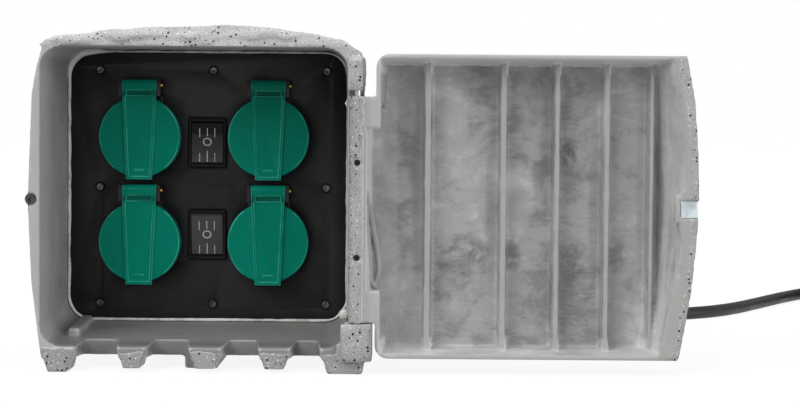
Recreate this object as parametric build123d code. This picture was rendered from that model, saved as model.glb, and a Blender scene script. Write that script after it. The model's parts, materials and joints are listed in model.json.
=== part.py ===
from build123d import *
import math
import os

# Outdoor socket block in a stone-look housing, door open, standing on level ground.
# X runs to the right, the front faces -Y, +Z is up. Sizes are millimetres.
# The origin is on the ground, under the middle of the housing.

# Housing, a moulded boulder in two halves
HOUSING_WIDTH = 196.4
HOUSING_HEIGHT = 205.0
HOUSING_DEPTH = 132.0
FLOOR_LIFT = 7.8
SPLIT_BEHIND_FRONT = 83.0
GASKET_THICKNESS = 1.0
REAR_WALL = 4.0
HOLLOW_CORNER = 12.0
FACET_DEPTH = 1.1

# Front recess that the door closes
RECESS_DEPTH = 75.0
LEFT_RIM = 7.1
RIGHT_RIM = 8.5
MOUTH_BOTTOM = 14.8
MOUTH_TOP = 191.8
MOUTH_RADIUS = 13.0
RECESS_SIDE = 9.4
RECESS_BOTTOM = 22.7
RECESS_TOP = 193.8
RECESS_RADIUS = 15.0

# Feet and the cable notches between them
NOTCH_DEPTH = 22.0
NOTCH_CENTRES = (-58.0, -15.8, 27.0, 65.5)
NOTCH_TOP_WIDTHS = (25.7, 26.0, 22.7, 18.6)
NOTCH_FLARE = 4.0
NOTCH_TAPER = 3.2
NOTCH_RISE = 12.0
NOTCH_AHEAD = 6.0
FEET_LEFT_INSET = 8.2
FEET_RIGHT_PROUD = 3.3
FEET_GROUND_LEFT_INSET = 11.8
FEET_GROUND_RIGHT_PROUD = 1.1
MIDDLE_FEET_LIFT = 2.4
FOOT_BITE = 3.0
REAR_FEET_DEPTH = 20.0
KEEL_LEFT = -8.0
KEEL_RIGHT = 12.0

# Socket panel and what holds it
PANEL_THICKNESS = 3.0
PANEL_GAP = 0.3
BEAD_WIDTH = 2.3
BEAD_PROUD = 1.6
BEAD_CREST_SHARES = (0.35, 0.75)
LEDGE_OPEN_LEFT = -70.0
LEDGE_OPEN_RIGHT = 68.0
LEDGE_OPEN_BOTTOM = 46.4
LEDGE_OPEN_TOP = 169.4
LEDGE_OPEN_RADIUS = 6.0
SCREW_MIDDLE_X = 3.1
SCREW_MIDDLE_Z = 107.6
SCREW_PITCH_X = 71.4
SCREW_PITCH_Z = 73.7
SCREW_SHANK_RADIUS = 1.7
SCREW_HEAD_RADIUS = 2.9
SCREW_HEAD_HEIGHT = 1.9
SCREW_LENGTH = 10.0
SCREW_HOLE_GAP = 0.3
SCREW_BOSS_RADIUS = 5.0
SCREW_BOSS_DEPTH = 6.0
SCREW_CROWN_SHARE = 0.72
SCREW_RIM_SHARE = 0.45
CROSS_SLOT_WIDTH = 0.7
CROSS_SLOT_LENGTH = 3.2
CROSS_SLOT_DEPTH = 1.1

# Sockets, two columns and two rows
SOCKET_MIDDLE_X = -1.6
SOCKET_MIDDLE_Z = 106.3
SOCKET_PITCH_X = 80.4
SOCKET_PITCH_Z = 65.6
SOCKET_BODY_RADIUS = 22.0
SOCKET_COLLAR_RADIUS = 21.4
SOCKET_CUP_RADIUS = 19.7
SOCKET_CUP_DEPTH = 17.5
CUP_FLOOR_THICKNESS = 2.2
COLLAR_PROUD = 8.8
FLANGE_RADIUS = 25.2
FLANGE_THICKNESS = 2.2
BODY_DEPTH = 30.0
HOLE_GAP = 0.3
RING_NUT_RADIUS = 26.0
RING_NUT_THICKNESS = 4.0
RING_NUT_GAP = 0.1
CONTACT_SPACING = 19.0
CONTACT_ENTRY_RADIUS = 2.6
CONTACT_BORE_RADIUS = 2.45
CONTACT_RADIUS = 3.4
CONTACT_LENGTH = 17.0
CONTACT_POCKET_GAP = 0.1
CONTACT_SET_BACK = 0.2
CONTACT_TAIL = 4.0
EARTH_STRIP_WIDTH = 4.6
EARTH_STRIP_THICKNESS = 0.9
EARTH_STRIP_OFFSET = 18.1
EARTH_STRIP_PROUD = 6.5
EARTH_SLOT_GAP = 0.15
EARTH_BRIDGE_GAP = 0.3

# Sprung lids over the sockets
LID_RADIUS = 25.3
LID_WALL = 1.9
LID_FACE_PROUD = 13.2
LID_SKIRT_PROUD = 3.4
LID_HINGE_SKIRT_PROUD = 7.3
LID_HINGE_CUT = 14.0
LID_SEAL_THICKNESS = 1.5
LID_SEAL_WIDTH = 2.6
LID_SEAL_GAP = 0.4
LID_SEAL_PLAY = 0.2
LID_EDGE_RADIUS = 1.0
STRAP_PROUD = 14.7
STRAP_TOP_WIDTH = 21.2
STRAP_END_WIDTH = 15.9
STRAP_BELOW = 26.4
STRAP_BORDER = 1.6
STRAP_FIELD_DEPTH = 0.5
STRAP_FIELD_TOP = 25.6
STRAP_FIELD_END = 24.6
MARK_WIDTH = 6.0
MARK_HEIGHT = 1.0
MARK_BELOW = 21.2
MARK_PROUD = 0.35
HINGE_RECESS_WIDTH = 15.8
HINGE_RECESS_HEIGHT = 3.6
HINGE_RECESS_DEPTH = 1.2
LID_AXIS_UP = 32.4
LID_AXIS_PROUD = 11.4
LID_BARREL_RADIUS = 3.4
LID_BARREL_GAP = 0.3
LUG_THICKNESS = 2.2
LUG_TOP = 35.6
LUG_BOTTOM = 25.4
LUG_PROUD = 14.0
LID_PIN_RADIUS = 1.2
LID_PIN_PLAY = 0.05
LID_PIN_OVERHANG = 1.3

# Torsion spring on each lid pin
SPRING_WIRE_RADIUS = 0.35
SPRING_COIL_RADIUS = 1.95
SPRING_TURNS = 6.25
SPRING_PITCH = 1.15
SPRING_POCKET_RADIUS = 2.7
SPRING_POCKET_HALF = 4.6
SPRING_SLOT_BEHIND = 0.4
SPRING_SLOT_SHARE = 0.9
SPRING_HOOK = 1.1

# Rocker switches between the socket columns
SWITCH_X = -0.6
SWITCH_MIDDLE_Z = 106.9
SWITCH_PITCH_Z = 57.8
BEZEL_WIDTH = 24.4
BEZEL_HEIGHT = 31.8
BEZEL_PROUD = 2.2
BEZEL_RADIUS = 1.6
BEZEL_CHAMFER = 0.6
SWITCH_BODY_WIDTH = 21.8
SWITCH_BODY_HEIGHT = 29.2
SWITCH_BODY_DEPTH = 22.0
ROCKER_WIDTH = 19.6
ROCKER_RADIUS = 13.5
ROCKER_GAP = 0.35
ROCKER_AXIS_DEPTH = 1.5
ROCKER_FACE_PROUD = 2.4
ROCKER_FACE_HALF = 12.2
ROCKER_EDGE_DROP = 1.3
ROCKER_UNDER = 3.4
ROCKER_POCKET_DEPTH = 7.0
ROCKER_PIN_RADIUS = 1.5
ROCKER_PIN_LENGTH = 0.9
ROCKER_PIN_PLAY = 0.05
ROCKER_PIN_END_GAP = 0.2
ROCKER_TILT = 8.0
TERMINAL_WIDTH = 6.3
TERMINAL_THICKNESS = 0.8
TERMINAL_LENGTH = 8.0
TERMINAL_ROOT = 3.0
TERMINAL_PITCH_X = 10.0
TERMINAL_PITCH_Z = 7.5

# Door hinge: one steel pin through corner blocks and the door's barrel
HINGE_INSET = 2.5
HINGE_AHEAD = 0.3
HINGE_PIN_RADIUS = 2.2
HINGE_PIN_PLAY = 0.05
BARREL_RADIUS = 4.6
BARREL_ROOM = 0.4
BARREL_BOTTOM = 30.3
BARREL_TOP = 163.8
BARREL_WEB = 2.7
BARREL_HOLE_RADIUS = 1.9
BARREL_HOLE_HEIGHTS = (69.1, 124.9)
UPPER_BLOCK_BOTTOM = 167.3
UPPER_BLOCK_TOP = 187.0
UPPER_BLOCK_IN = 5.5
UPPER_BLOCK_OUT = 3.1
LOWER_BLOCK_TOP = 29.9
LOWER_BLOCK_IN = 9.1
LOWER_BLOCK_OUT = 9.3
BLOCK_BACK = 26.0
BLOCK_CHAMFER = 3.0
PIN_SEAT = 13.0
PIN_TOP_SEAT = 18.0
PIN_TOP_GAP = 2.0
HINGE_RELIEF_OFF = 1.3
HINGE_RELIEF_DEPTH = 38.0

# Door, a shallow ribbed tray; across sizes are measured from the hinge axis
DOOR_BOTTOM = 9.2
DOOR_TOP = 189.0
DOOR_OVERHANG = 7.7
DOOR_DEPTH = 36.0
DOOR_FLOOR_DEPTH = 27.4
DOOR_WAIST = 19.8
DOOR_CROWN = 29.9
DOOR_CORNER_OFF = 10.8
DOOR_BARREL_OFF = 2.3
DOOR_WALL = 2.4
DOOR_RIM = 2.7
DOOR_CORNER_RADIUS = 8.0
DOOR_FREE_RIM = 8.0
DOOR_FREE_LEAN = 13.0
DOOR_HINGE_LEAN = 3.4
LUG_REACH = 14.1
LUG_HEIGHT = 19.0
LUG_DEPTH = 9.0
RIB_SHARES = (0.207, 0.431, 0.589, 0.737, 0.87)
RIB_THICKNESSES = (3.6, 3.4, 3.2, 3.2, 2.4)
RIB_HEIGHT = 13.0
RIB_DRAFT = 1.2
RIB_END_GAP = 2.5
MAGNET_SIDE = 10.0
MAGNET_TALL = 9.8
MAGNET_THICKNESS = 4.0
MAGNET_INSET = 5.9
MAGNET_HEIGHT = 98.7
MAGNET_BED = 3.2
MAGNET_BED_DEPTH = 6.5
MAGNET_BED_END = 2.5
CATCH_INSET = 1.9
CATCH_HEIGHT = 102.0
CATCH_HEAD_RADIUS = 3.35
CATCH_HEAD_HEIGHT = 2.2
CATCH_HEAD_PROUD = 0.25
CATCH_SHANK_RADIUS = 1.6
CATCH_LENGTH = 14.0
CATCH_BOSS_RADIUS = 3.9
CATCH_BOSS_END = 2.0

# Rear screws that close the housing
COVER_SCREW_X = 80.0
COVER_SCREW_LOW = 54.4
COVER_SCREW_HIGH = 154.4
COVER_COLUMN_RADIUS = 5.6
COVER_SHANK_RADIUS = 1.9
COVER_HEAD_RADIUS = 3.6
COVER_HEAD_HEIGHT = 2.6
COVER_SEAT_THICKNESS = 6.0
COVER_BITE = 4.0
COVER_GAP = 0.35

# Supply lead
CABLE_RADIUS = 4.8
CABLE_EXIT_X = 40.0
CABLE_EXIT_Z = 26.4
BUSH_LENGTH = 35.0
BUSH_ROOT_RADIUS = 9.0
BUSH_TIP_RADIUS = 6.3
BUSH_FLANGE_RADIUS = 11.5
BUSH_FLANGE_THICKNESS = 2.5
BUSH_NECK_RADIUS = 8.0
CLAMP_LENGTH = 10.0
CLAMP_WIDTH = 24.0
CLAMP_HEIGHT = 15.0
INNER_BEND = 15.0
INNER_DEPTH = 22.0
INNER_END_X = 12.0

# Mains terminal block and inner wiring
BLOCK_WIDTH = 50.0
BLOCK_HEIGHT = 18.0
BLOCK_DEPTH = 16.0
BLOCK_BOTTOM = 44.4
BLOCK_BORE_RADIUS = 2.0
BLOCK_WAYS = 5
WIRE_RADIUS = 1.4
WIRE_BEND = 5.0
WIRE_TIGHT_BEND = 3.0
WIRE_LAYERS = (49.0, 53.0, 57.0)
WIRE_LEVELS = (66.4, 70.4, 74.4)
WIRE_STARTS = (14.0, 6.0, 2.0)
WIRE_TAP_RADIUS = 1.2
CORE_LAYERS = (-3.0, 0.0, 3.0)
CORE_FIRST_RUN = 4.0
CORE_STEP = 4.5
CORE_RISE = 9.0
CORE_BENDS = (2.0, 2.5)

# Coil of the lead that is put away, and the plug beside it
COIL_TURNS = 2.41
COIL_MIDDLE_RADIUS = 52.0
COIL_STEP = 10.2
COIL_START = (486.0, 450.0)
COIL_HEADING = 57.0
COIL_CLIMB_TURNS = 0.5
TIE_THICKNESS = 0.8
TIE_WIDTH = 9.0
TIE_GAP = 0.3
TIE_TURN = 0.62
TIE_CORNER = 4.0
PLUG_RADIUS = 18.5
PLUG_BODY_LENGTH = 33.0
PLUG_SLEEVE_LENGTH = 26.0
PLUG_SLEEVE_RADIUS = 6.4
PLUG_SLEEVE_FLARE = 1.6
PLUG_SLEEVE_CROWN = 8.0
PLUG_SHOULDER = 9.0
PLUG_EDGE = 2.0
PLUG_WAIST_RADIUS = 12.0
PLUG_FACE_RADIUS = 18.0
PLUG_PIN_RADIUS = 2.4
PLUG_PIN_LENGTH = 19.0
PLUG_PIN_ROOT = 10.0
PLUG_PIN_TIP = 1.44
PLUG_NOTCH_WIDTH = 8.0
PLUG_NOTCH_DEPTH = 2.4
PLUG_NOTCH_LENGTH = 17.0
PLUG_STRIP_THICKNESS = 0.8
PLUG_STRIP_GAP = 1.0
PLUG_EARTH_HOLE_RADIUS = 2.5
PLUG_EARTH_HOLE_OFFSET = 10.0
PLUG_TAIL = 42.0
PLUG_TAIL_SHARES = (0.3, 0.62)
SMALL_TURN = 1e-4
COIL_LEAD = 9.6
COIL_ARCS = 4
LEAD_LAST_RUN = 50.0

# Places worked out from the sizes
FRONT = -HOUSING_DEPTH / 2
BACK = HOUSING_DEPTH / 2
PANEL_Y = FRONT + RECESS_DEPTH
LEDGE_Y = PANEL_Y + PANEL_THICKNESS
SPLIT_Y = FRONT + SPLIT_BEHIND_FRONT
COVER_Y = SPLIT_Y + GASKET_THICKNESS
HINGE_Y = FRONT - HINGE_AHEAD
LEFT = -HOUSING_WIDTH / 2
RIGHT = HOUSING_WIDTH / 2
RECESS_HALF_WIDTH = RIGHT - RECESS_SIDE
HINGE_X = RIGHT - HINGE_INSET
CATCH_X = LEFT + CATCH_INSET
DOOR_REACH = HINGE_X - LEFT + DOOR_OVERHANG
MAGNET_X = HINGE_X + DOOR_REACH - MAGNET_INSET
INNER_BACK = BACK - REAR_WALL
SOCKET_NAMES = ("left_lower", "right_lower", "left_upper", "right_upper")
SOCKET_SPOTS = {
    name: (
        SOCKET_MIDDLE_X + (-1 if "left" in name else 1) * SOCKET_PITCH_X / 2,
        SOCKET_MIDDLE_Z + (-1 if "lower" in name else 1) * SOCKET_PITCH_Z / 2,
    )
    for name in SOCKET_NAMES
}
SWITCH_HEIGHTS = {
    "lower": SWITCH_MIDDLE_Z - SWITCH_PITCH_Z / 2,
    "upper": SWITCH_MIDDLE_Z + SWITCH_PITCH_Z / 2,
}
SCREW_SPOTS = [
    (SCREW_MIDDLE_X + column * SCREW_PITCH_X, SCREW_MIDDLE_Z + row * SCREW_PITCH_Z)
    for column in (-1, 0, 1)
    for row in (-1, 0, 1)
    if (column, row) != (0, 0)
]
COVER_SPOTS = [
    (side * COVER_SCREW_X, height)
    for side in (-1, 1)
    for height in (COVER_SCREW_LOW, COVER_SCREW_HIGH)
]
EPS = 0.01
OVERLAP = 1.0
REACH_THROUGH = 400.0


# Simple solids


def block(x0, x1, y0, y1, z0, z1):
    """A box between two corners."""
    middle = Pos((x0 + x1) / 2, (y0 + y1) / 2, (z0 + z1) / 2)
    return middle * Box(x1 - x0, y1 - y0, z1 - z0)


def rod_x(radius, x0, x1, y, z):
    """A round rod along X."""
    return Pos((x0 + x1) / 2, y, z) * Rot(0, 90, 0) * Cylinder(radius, x1 - x0)


def rod_y(radius, y0, y1, x, z):
    """A round rod along Y."""
    return Pos(x, (y0 + y1) / 2, z) * Rot(90, 0, 0) * Cylinder(radius, y1 - y0)


def rod_z(radius, z0, z1, x, y):
    """A round rod along Z."""
    return Pos(x, y, (z0 + z1) / 2) * Cylinder(radius, z1 - z0)


def cone_y(radius0, radius1, y0, y1, x, z):
    """A cone along Y, radius0 at y0 and radius1 at y1."""
    return Pos(x, (y0 + y1) / 2, z) * Rot(90, 0, 0) * Cone(radius1, radius0, y1 - y0)


def facing(y):
    """The upright plane at y, seen from the front: its axes are X and Z."""
    return Plane(origin=(0, y, 0), x_dir=(1, 0, 0), z_dir=(0, -1, 0))


def rounded(x0, x1, z0, z1, radius, y):
    """An upright rounded rectangle at y."""
    middle = Pos((x0 + x1) / 2, (z0 + z1) / 2)
    return facing(y) * middle * RectangleRounded(x1 - x0, z1 - z0, radius)


def outline_wire(points, y):
    """A closed upright outline through (x, z) points at y."""
    return Wire.make_polygon([Vector(x, y, z) for x, z in points], close=True)


def ruled(outlines):
    """A solid with straight walls from outline to outline; each is (points, y)."""
    return Solid.make_loft([outline_wire(points, y) for points, y in outlines], ruled=True)


def prism_x(points, x0, x1):
    """A solid along X whose section is the (y, z) points."""
    wire = Wire.make_polygon([Vector(x0, y, z) for y, z in points], close=True)
    return Solid.extrude(Face(wire), Vector(x1 - x0, 0, 0))


def first_solid(shape):
    """The one solid of a shape that should have one."""
    return max(shape.solids(), key=lambda s: s.volume)


def proud(distance):
    """The y of a level that stands this far out of the panel's face."""
    return PANEL_Y - distance


# Tubes along a route


def corner_radii(points, share=0.45):
    """For each corner of a route, share of the shorter run over the tangent of half the turn."""
    radii = []
    for before, here, after in zip(points, points[1:], points[2:]):
        first = Vector(*here) - Vector(*before)
        second = Vector(*after) - Vector(*here)
        turn = math.radians(first.get_angle(second))
        shorter = min(first.length, second.length)
        radii.append(share * shorter / math.tan(turn / 2))
    return radii


def tube(points, radii, radius):
    """A round tube along straight runs joined by tangent arcs."""
    path = FilletPolyline(*points, radius=radii)
    start = Vector(*points[0])
    section = Plane(origin=start, z_dir=Vector(*points[1]) - start) * Circle(radius)
    return first_solid(sweep(section, path=path.wire())), path.wire().length


def biarc(p0, t0, p1, t1):
    """Two arcs that join p0 to p1 and are tangent to t0 and t1."""
    across = p1 - p0
    both = t0 + t1
    bend = 2 * (1 - t0.dot(t1))
    along = across.dot(both)
    if bend < EPS * EPS:
        reach = across.dot(across) / (2 * along)
    else:
        reach = (math.sqrt(along * along + bend * across.dot(across)) - along) / bend
    q0 = p0 + t0 * reach
    q1 = p1 - t1 * reach
    joint = (q0 + q1) * 0.5
    return [
        Edge.make_tangent_arc(p0, t0, joint),
        Edge.make_tangent_arc(joint, q1 - q0, p1),
    ]


def wound_tube(place, turns, per_turn, radius, lead_in, lead_out):
    """One tube along place(turn), on biarcs, with straight leads at its ends."""
    count = math.ceil(turns * per_turn)
    knots = []
    for i in range(count + 1):
        turn = turns * i / count
        ahead = min(turn + SMALL_TURN, turns)
        behind = max(turn - SMALL_TURN, 0)
        way = (place(ahead) - place(behind)).normalized()
        knots.append((place(turn), way))
    start, first_way = knots[0]
    end, last_way = knots[-1]
    edges = []
    if lead_in > 0:
        edges.append(Edge.make_line(start - first_way * lead_in, start))
    for (p0, t0), (p1, t1) in zip(knots, knots[1:]):
        edges.extend(biarc(p0, t0, p1, t1))
    if lead_out > 0:
        edges.append(Edge.make_line(end, end + last_way * lead_out))
    wire = Wire(edges)
    section = Plane(origin=start - first_way * lead_in, z_dir=first_way) * Circle(radius)
    return first_solid(sweep(section, path=wire)), wire.length


def least_gap(place, turns, radius):
    """The least gap between the tube's turns, measured on points of its line."""
    steps = 90
    count = int(turns * steps)
    points = [place(turns * i / count) for i in range(count + 1)]
    apart = steps // 2
    least = min(
        (points[i] - points[j]).length
        for i in range(len(points))
        for j in range(i + apart, len(points))
    )
    return least - 2 * radius


# The boulder's outer shape


def rock_points(side_in, top_drop, brow, phase):
    """The boulder's outline from the lower left corner, clockwise seen from the front."""
    left = LEFT + side_in
    right = RIGHT - side_in
    top = HOUSING_HEIGHT - top_drop
    points = [
        (left + 8.0, FLOOR_LIFT),
        (left + 6.4, FLOOR_LIFT + 11.5),
        (left + 2.2, FLOOR_LIFT + 46.0),
        (left, FLOOR_LIFT + 94.0),
        (left + 2.4, top - 41.0),
        (left + 5.2, top - 25.0),
        (left + 9.5 - brow / 3, top - 14.0),
        (left + 10.0 - brow, top - 11.5),
        (left + 14.7, top - 7.4),
        (left + 36.0, top - 5.6),
        (left + 78.0, top - 2.2),
        (right - 80.0, top),
        (right - 36.0, top - 4.4),
        (right - 6.6, top - 11.5),
        (right, top - 15.6),
        (right - 0.4, top - 60.0),
        (right, FLOOR_LIFT + 60.0),
        (right - 1.5, FLOOR_LIFT + 14.0),
        (right - 5.0, FLOOR_LIFT),
    ]
    moved = []
    for i, (x, z) in enumerate(points):
        low = z <= FLOOR_LIFT
        shift = FACET_DEPTH * math.sin(2.1 * i + phase) if phase else 0.0
        moved.append((x + shift, z if low else z + 0.7 * shift))
    return moved


def rock_body():
    """The whole boulder, faceted, before it is hollowed."""
    stations = [
        (rock_points(0.0, 0.0, 3.5, 0), FRONT),
        (rock_points(-0.6, 1.0, 1.0, 1.3), FRONT + 0.2 * HOUSING_DEPTH),
        (rock_points(0.4, 0.6, 0.0, 2.9), FRONT + 0.48 * HOUSING_DEPTH),
        (rock_points(1.6, 3.2, 0.0, 4.4), FRONT + 0.76 * HOUSING_DEPTH),
        (rock_points(5.0, 8.5, 0.0, 5.7), BACK),
    ]
    return ruled(stations)


def rear_hollow():
    """The room inside the rear half, one wall thickness in."""
    inset = REAR_WALL + 2 * FACET_DEPTH

    def shrunk(side_in, top_drop, y):
        left = LEFT + side_in + inset
        right = RIGHT - side_in - inset
        top = HOUSING_HEIGHT - top_drop - inset
        corner = HOLLOW_CORNER
        points = [
            (left + corner, FLOOR_LIFT + REAR_WALL),
            (left, FLOOR_LIFT + REAR_WALL + corner),
            (left, top - 3 * corner),
            (left + corner, top - corner),
            (left + 3 * corner, top - 0.5 * corner),
            (right - 3 * corner, top - 0.5 * corner),
            (right - corner, top - 0.7 * corner),
            (right, top - 1.7 * corner),
            (right, FLOOR_LIFT + REAR_WALL + corner),
            (right - corner, FLOOR_LIFT + REAR_WALL),
        ]
        return points, y

    return ruled([shrunk(1.4, 1.6, SPLIT_Y - EPS), shrunk(5.0, 8.5, INNER_BACK)])


def recess():
    """The drafted front recess, down to the ledge that the panel sits on."""
    mouth = rounded(
        LEFT + LEFT_RIM,
        RIGHT - RIGHT_RIM,
        MOUTH_BOTTOM,
        MOUTH_TOP,
        MOUTH_RADIUS,
        FRONT - EPS,
    )
    floor = rounded(
        -RECESS_HALF_WIDTH,
        RECESS_HALF_WIDTH,
        RECESS_BOTTOM,
        RECESS_TOP,
        RECESS_RADIUS,
        PANEL_Y,
    )
    seat = extrude(floor, amount=-PANEL_THICKNESS)
    return loft([mouth, floor], ruled=True) + seat


def foot_row(y0, y1):
    """Feet across the base between y0 and y1, narrower at the ground."""
    top = FLOOR_LIFT + FOOT_BITE
    bar = [
        (LEFT + FEET_GROUND_LEFT_INSET, 0.0),
        (RIGHT + FEET_GROUND_RIGHT_PROUD, 0.0),
        (RIGHT + FEET_RIGHT_PROUD, top),
        (LEFT + FEET_LEFT_INSET, top),
    ]
    feet = ruled([(bar, y0), (bar, y1)])
    for centre, width in zip(NOTCH_CENTRES, NOTCH_TOP_WIDTHS):
        half = width / 2
        gap = [
            (centre - half - NOTCH_FLARE, -1.0),
            (centre + half + NOTCH_FLARE, -1.0),
            (centre + half, MOUTH_BOTTOM),
            (centre - half, MOUTH_BOTTOM),
        ]
        feet -= ruled([(gap, y0 - 1), (gap, y1 + 1)])
    first = NOTCH_CENTRES[0]
    last = NOTCH_CENTRES[-1]
    return feet - block(first, last, y0 - 1, y1 + 1, -1.0, MIDDLE_FEET_LIFT)


def notch(centre, width):
    """One cable notch through the front edge of the floor, wider at its mouth."""
    half = width / 2
    front = [
        (centre - half - NOTCH_FLARE, -1.0),
        (centre + half + NOTCH_FLARE, -1.0),
        (centre + half, MOUTH_BOTTOM),
        (centre + half, MOUTH_BOTTOM + NOTCH_RISE),
        (centre - half, MOUTH_BOTTOM + NOTCH_RISE),
        (centre - half, MOUTH_BOTTOM),
    ]
    back = [(centre + (x - centre) * (half - NOTCH_TAPER) / half, z) for x, z in front]
    return ruled([(front, FRONT - NOTCH_AHEAD), (back, FRONT + NOTCH_DEPTH)])


def keel(y0, y1):
    """The broad middle foot that carries the base's centre."""
    return block(KEEL_LEFT, KEEL_RIGHT, y0, y1, 0.0, FLOOR_LIFT + FOOT_BITE)


def hinge_blocks():
    """The two corner blocks that hold the hinge pin."""
    upper = block(
        HINGE_X - UPPER_BLOCK_IN,
        HINGE_X + UPPER_BLOCK_OUT,
        HINGE_Y - BARREL_RADIUS,
        FRONT + BLOCK_BACK / 2,
        UPPER_BLOCK_BOTTOM,
        UPPER_BLOCK_TOP,
    )
    upper = chamfer(
        upper.edges().filter_by(Axis.X).group_by(Axis.Y)[0].group_by(Axis.Z)[-1],
        BLOCK_CHAMFER,
    )
    lower = block(
        HINGE_X - LOWER_BLOCK_IN,
        HINGE_X + LOWER_BLOCK_OUT,
        HINGE_Y - BARREL_RADIUS,
        FRONT + BLOCK_BACK,
        FLOOR_LIFT,
        LOWER_BLOCK_TOP,
    )
    lower = fillet(
        lower.edges().filter_by(Axis.Z).group_by(Axis.X)[-1], BLOCK_CHAMFER
    )
    return upper, lower


def housing_front():
    """The front half: recess, ledge, floor with notches, feet and hinge blocks."""
    body = rock_body() & block(
        -REACH_THROUGH, REACH_THROUGH, FRONT - EPS, SPLIT_Y, 0, REACH_THROUGH
    )
    upper, lower = hinge_blocks()
    body = body + upper + lower
    body = body + foot_row(FRONT, FRONT + NOTCH_DEPTH)
    body = body + keel(FRONT + NOTCH_DEPTH - 1.0, SPLIT_Y)
    body = body + rod_y(
        CATCH_BOSS_RADIUS,
        FRONT,
        FRONT + CATCH_LENGTH + CATCH_BOSS_END,
        CATCH_X,
        CATCH_HEIGHT,
    )
    body = body - recess()
    window = rounded(
        LEDGE_OPEN_LEFT,
        LEDGE_OPEN_RIGHT,
        LEDGE_OPEN_BOTTOM,
        LEDGE_OPEN_TOP,
        LEDGE_OPEN_RADIUS,
        LEDGE_Y - EPS,
    )
    body = body - extrude(window, amount=-REACH_THROUGH)
    for x, z in SCREW_SPOTS:
        body = body + rod_y(SCREW_BOSS_RADIUS, LEDGE_Y, SPLIT_Y + SCREW_BOSS_DEPTH, x, z)
    left_tab = block(
        LEDGE_OPEN_LEFT - OVERLAP,
        SCREW_SPOTS[1][0],
        LEDGE_Y,
        SPLIT_Y,
        SCREW_MIDDLE_Z - SCREW_BOSS_RADIUS,
        SCREW_MIDDLE_Z + SCREW_BOSS_RADIUS,
    )
    body = body + left_tab
    for centre, width in zip(NOTCH_CENTRES, NOTCH_TOP_WIDTHS):
        body = body - notch(centre, width)
    # Room for the barrel and for the door's hinge-side wall
    body = body - block(
        HINGE_X - BARREL_RADIUS - BARREL_ROOM,
        REACH_THROUGH,
        FRONT - REACH_THROUGH,
        HINGE_Y + BARREL_RADIUS + BARREL_ROOM,
        LOWER_BLOCK_TOP,
        UPPER_BLOCK_BOTTOM,
    )
    body = body - block(
        HINGE_X + HINGE_RELIEF_OFF,
        REACH_THROUGH,
        FRONT - REACH_THROUGH,
        FRONT + HINGE_RELIEF_DEPTH,
        LOWER_BLOCK_TOP,
        UPPER_BLOCK_BOTTOM,
    )
    body = body - rod_z(
        HINGE_PIN_RADIUS,
        LOWER_BLOCK_TOP - PIN_SEAT,
        UPPER_BLOCK_BOTTOM + PIN_TOP_SEAT,
        HINGE_X,
        HINGE_Y,
    )
    for x, z in SCREW_SPOTS:
        end = PANEL_Y + SCREW_LENGTH
        body = body - rod_y(SCREW_SHANK_RADIUS, LEDGE_Y - EPS, end, x, z)
    head_back = FRONT - CATCH_HEAD_PROUD + CATCH_HEAD_HEIGHT
    body = body - rod_y(CATCH_HEAD_RADIUS, FRONT - 1, head_back, CATCH_X, CATCH_HEIGHT)
    body = body - rod_y(
        CATCH_SHANK_RADIUS, FRONT, FRONT + CATCH_LENGTH, CATCH_X, CATCH_HEIGHT
    )
    for x, z in COVER_SPOTS:
        body = body - rod_y(COVER_SHANK_RADIUS, SPLIT_Y - COVER_BITE, SPLIT_Y + 1, x, z)
    return first_solid(body)


def rear_gasket():
    """The flat gasket squeezed between the halves."""
    slab = rock_body() & block(
        -REACH_THROUGH, REACH_THROUGH, SPLIT_Y, COVER_Y, 0, REACH_THROUGH
    )
    return first_solid(slab - rear_hollow())


def housing_rear():
    """The rear half: a shell with columns for its screws and the cable entry."""
    body = rock_body() & block(
        -REACH_THROUGH, REACH_THROUGH, COVER_Y, BACK + EPS, 0, REACH_THROUGH
    )
    body = body + foot_row(BACK - REAR_FEET_DEPTH, BACK)
    body = body + keel(COVER_Y, BACK)
    hollow = rear_hollow()
    body = body - hollow
    for x, z in COVER_SPOTS:
        column = rod_y(COVER_COLUMN_RADIUS, COVER_Y, BACK - EPS, x, z)
        body = body + (column & (hollow + first_solid(body)))
    for x, z in COVER_SPOTS:
        seat = COVER_Y + COVER_SEAT_THICKNESS
        body = body - rod_y(COVER_SHANK_RADIUS + COVER_GAP, COVER_Y - 1, seat, x, z)
        body = body - rod_y(COVER_HEAD_RADIUS + COVER_GAP, seat, BACK + 1, x, z)
    body = body - rod_y(
        BUSH_NECK_RADIUS, INNER_BACK - INNER_DEPTH, BACK + 1, CABLE_EXIT_X, CABLE_EXIT_Z
    )
    return first_solid(body)


def cover_screws():
    """Four long screws that pull the rear half onto the front."""
    screws = []
    for x, z in COVER_SPOTS:
        seat = COVER_Y + COVER_SEAT_THICKNESS
        head = rod_y(COVER_HEAD_RADIUS, seat, seat + COVER_HEAD_HEIGHT, x, z)
        shank = rod_y(COVER_SHANK_RADIUS, SPLIT_Y - COVER_BITE, seat, x, z)
        screws.append(head + shank - cross_slot(x, seat + COVER_HEAD_HEIGHT, z, 1))
    return screws


def cross_slot(x, y, z, way):
    """The cross in a screw head whose face is at y; way is +1 on a rear face."""
    y0 = min(y, y - way * CROSS_SLOT_DEPTH)
    y1 = max(y, y - way * CROSS_SLOT_DEPTH)
    half = CROSS_SLOT_WIDTH / 2
    arm = CROSS_SLOT_LENGTH / 2
    flat = block(x - arm, x + arm, y0, y1, z - half, z + half)
    return flat + block(x - half, x + half, y0, y1, z - arm, z + arm)


# Panel and its fixings


def panel_edge(gap, y):
    """The panel's rounded outline, this far inside the recess walls."""
    return rounded(
        gap - RECESS_HALF_WIDTH,
        RECESS_HALF_WIDTH - gap,
        RECESS_BOTTOM + gap,
        RECESS_TOP - gap,
        RECESS_RADIUS - gap,
        y,
    )


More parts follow.
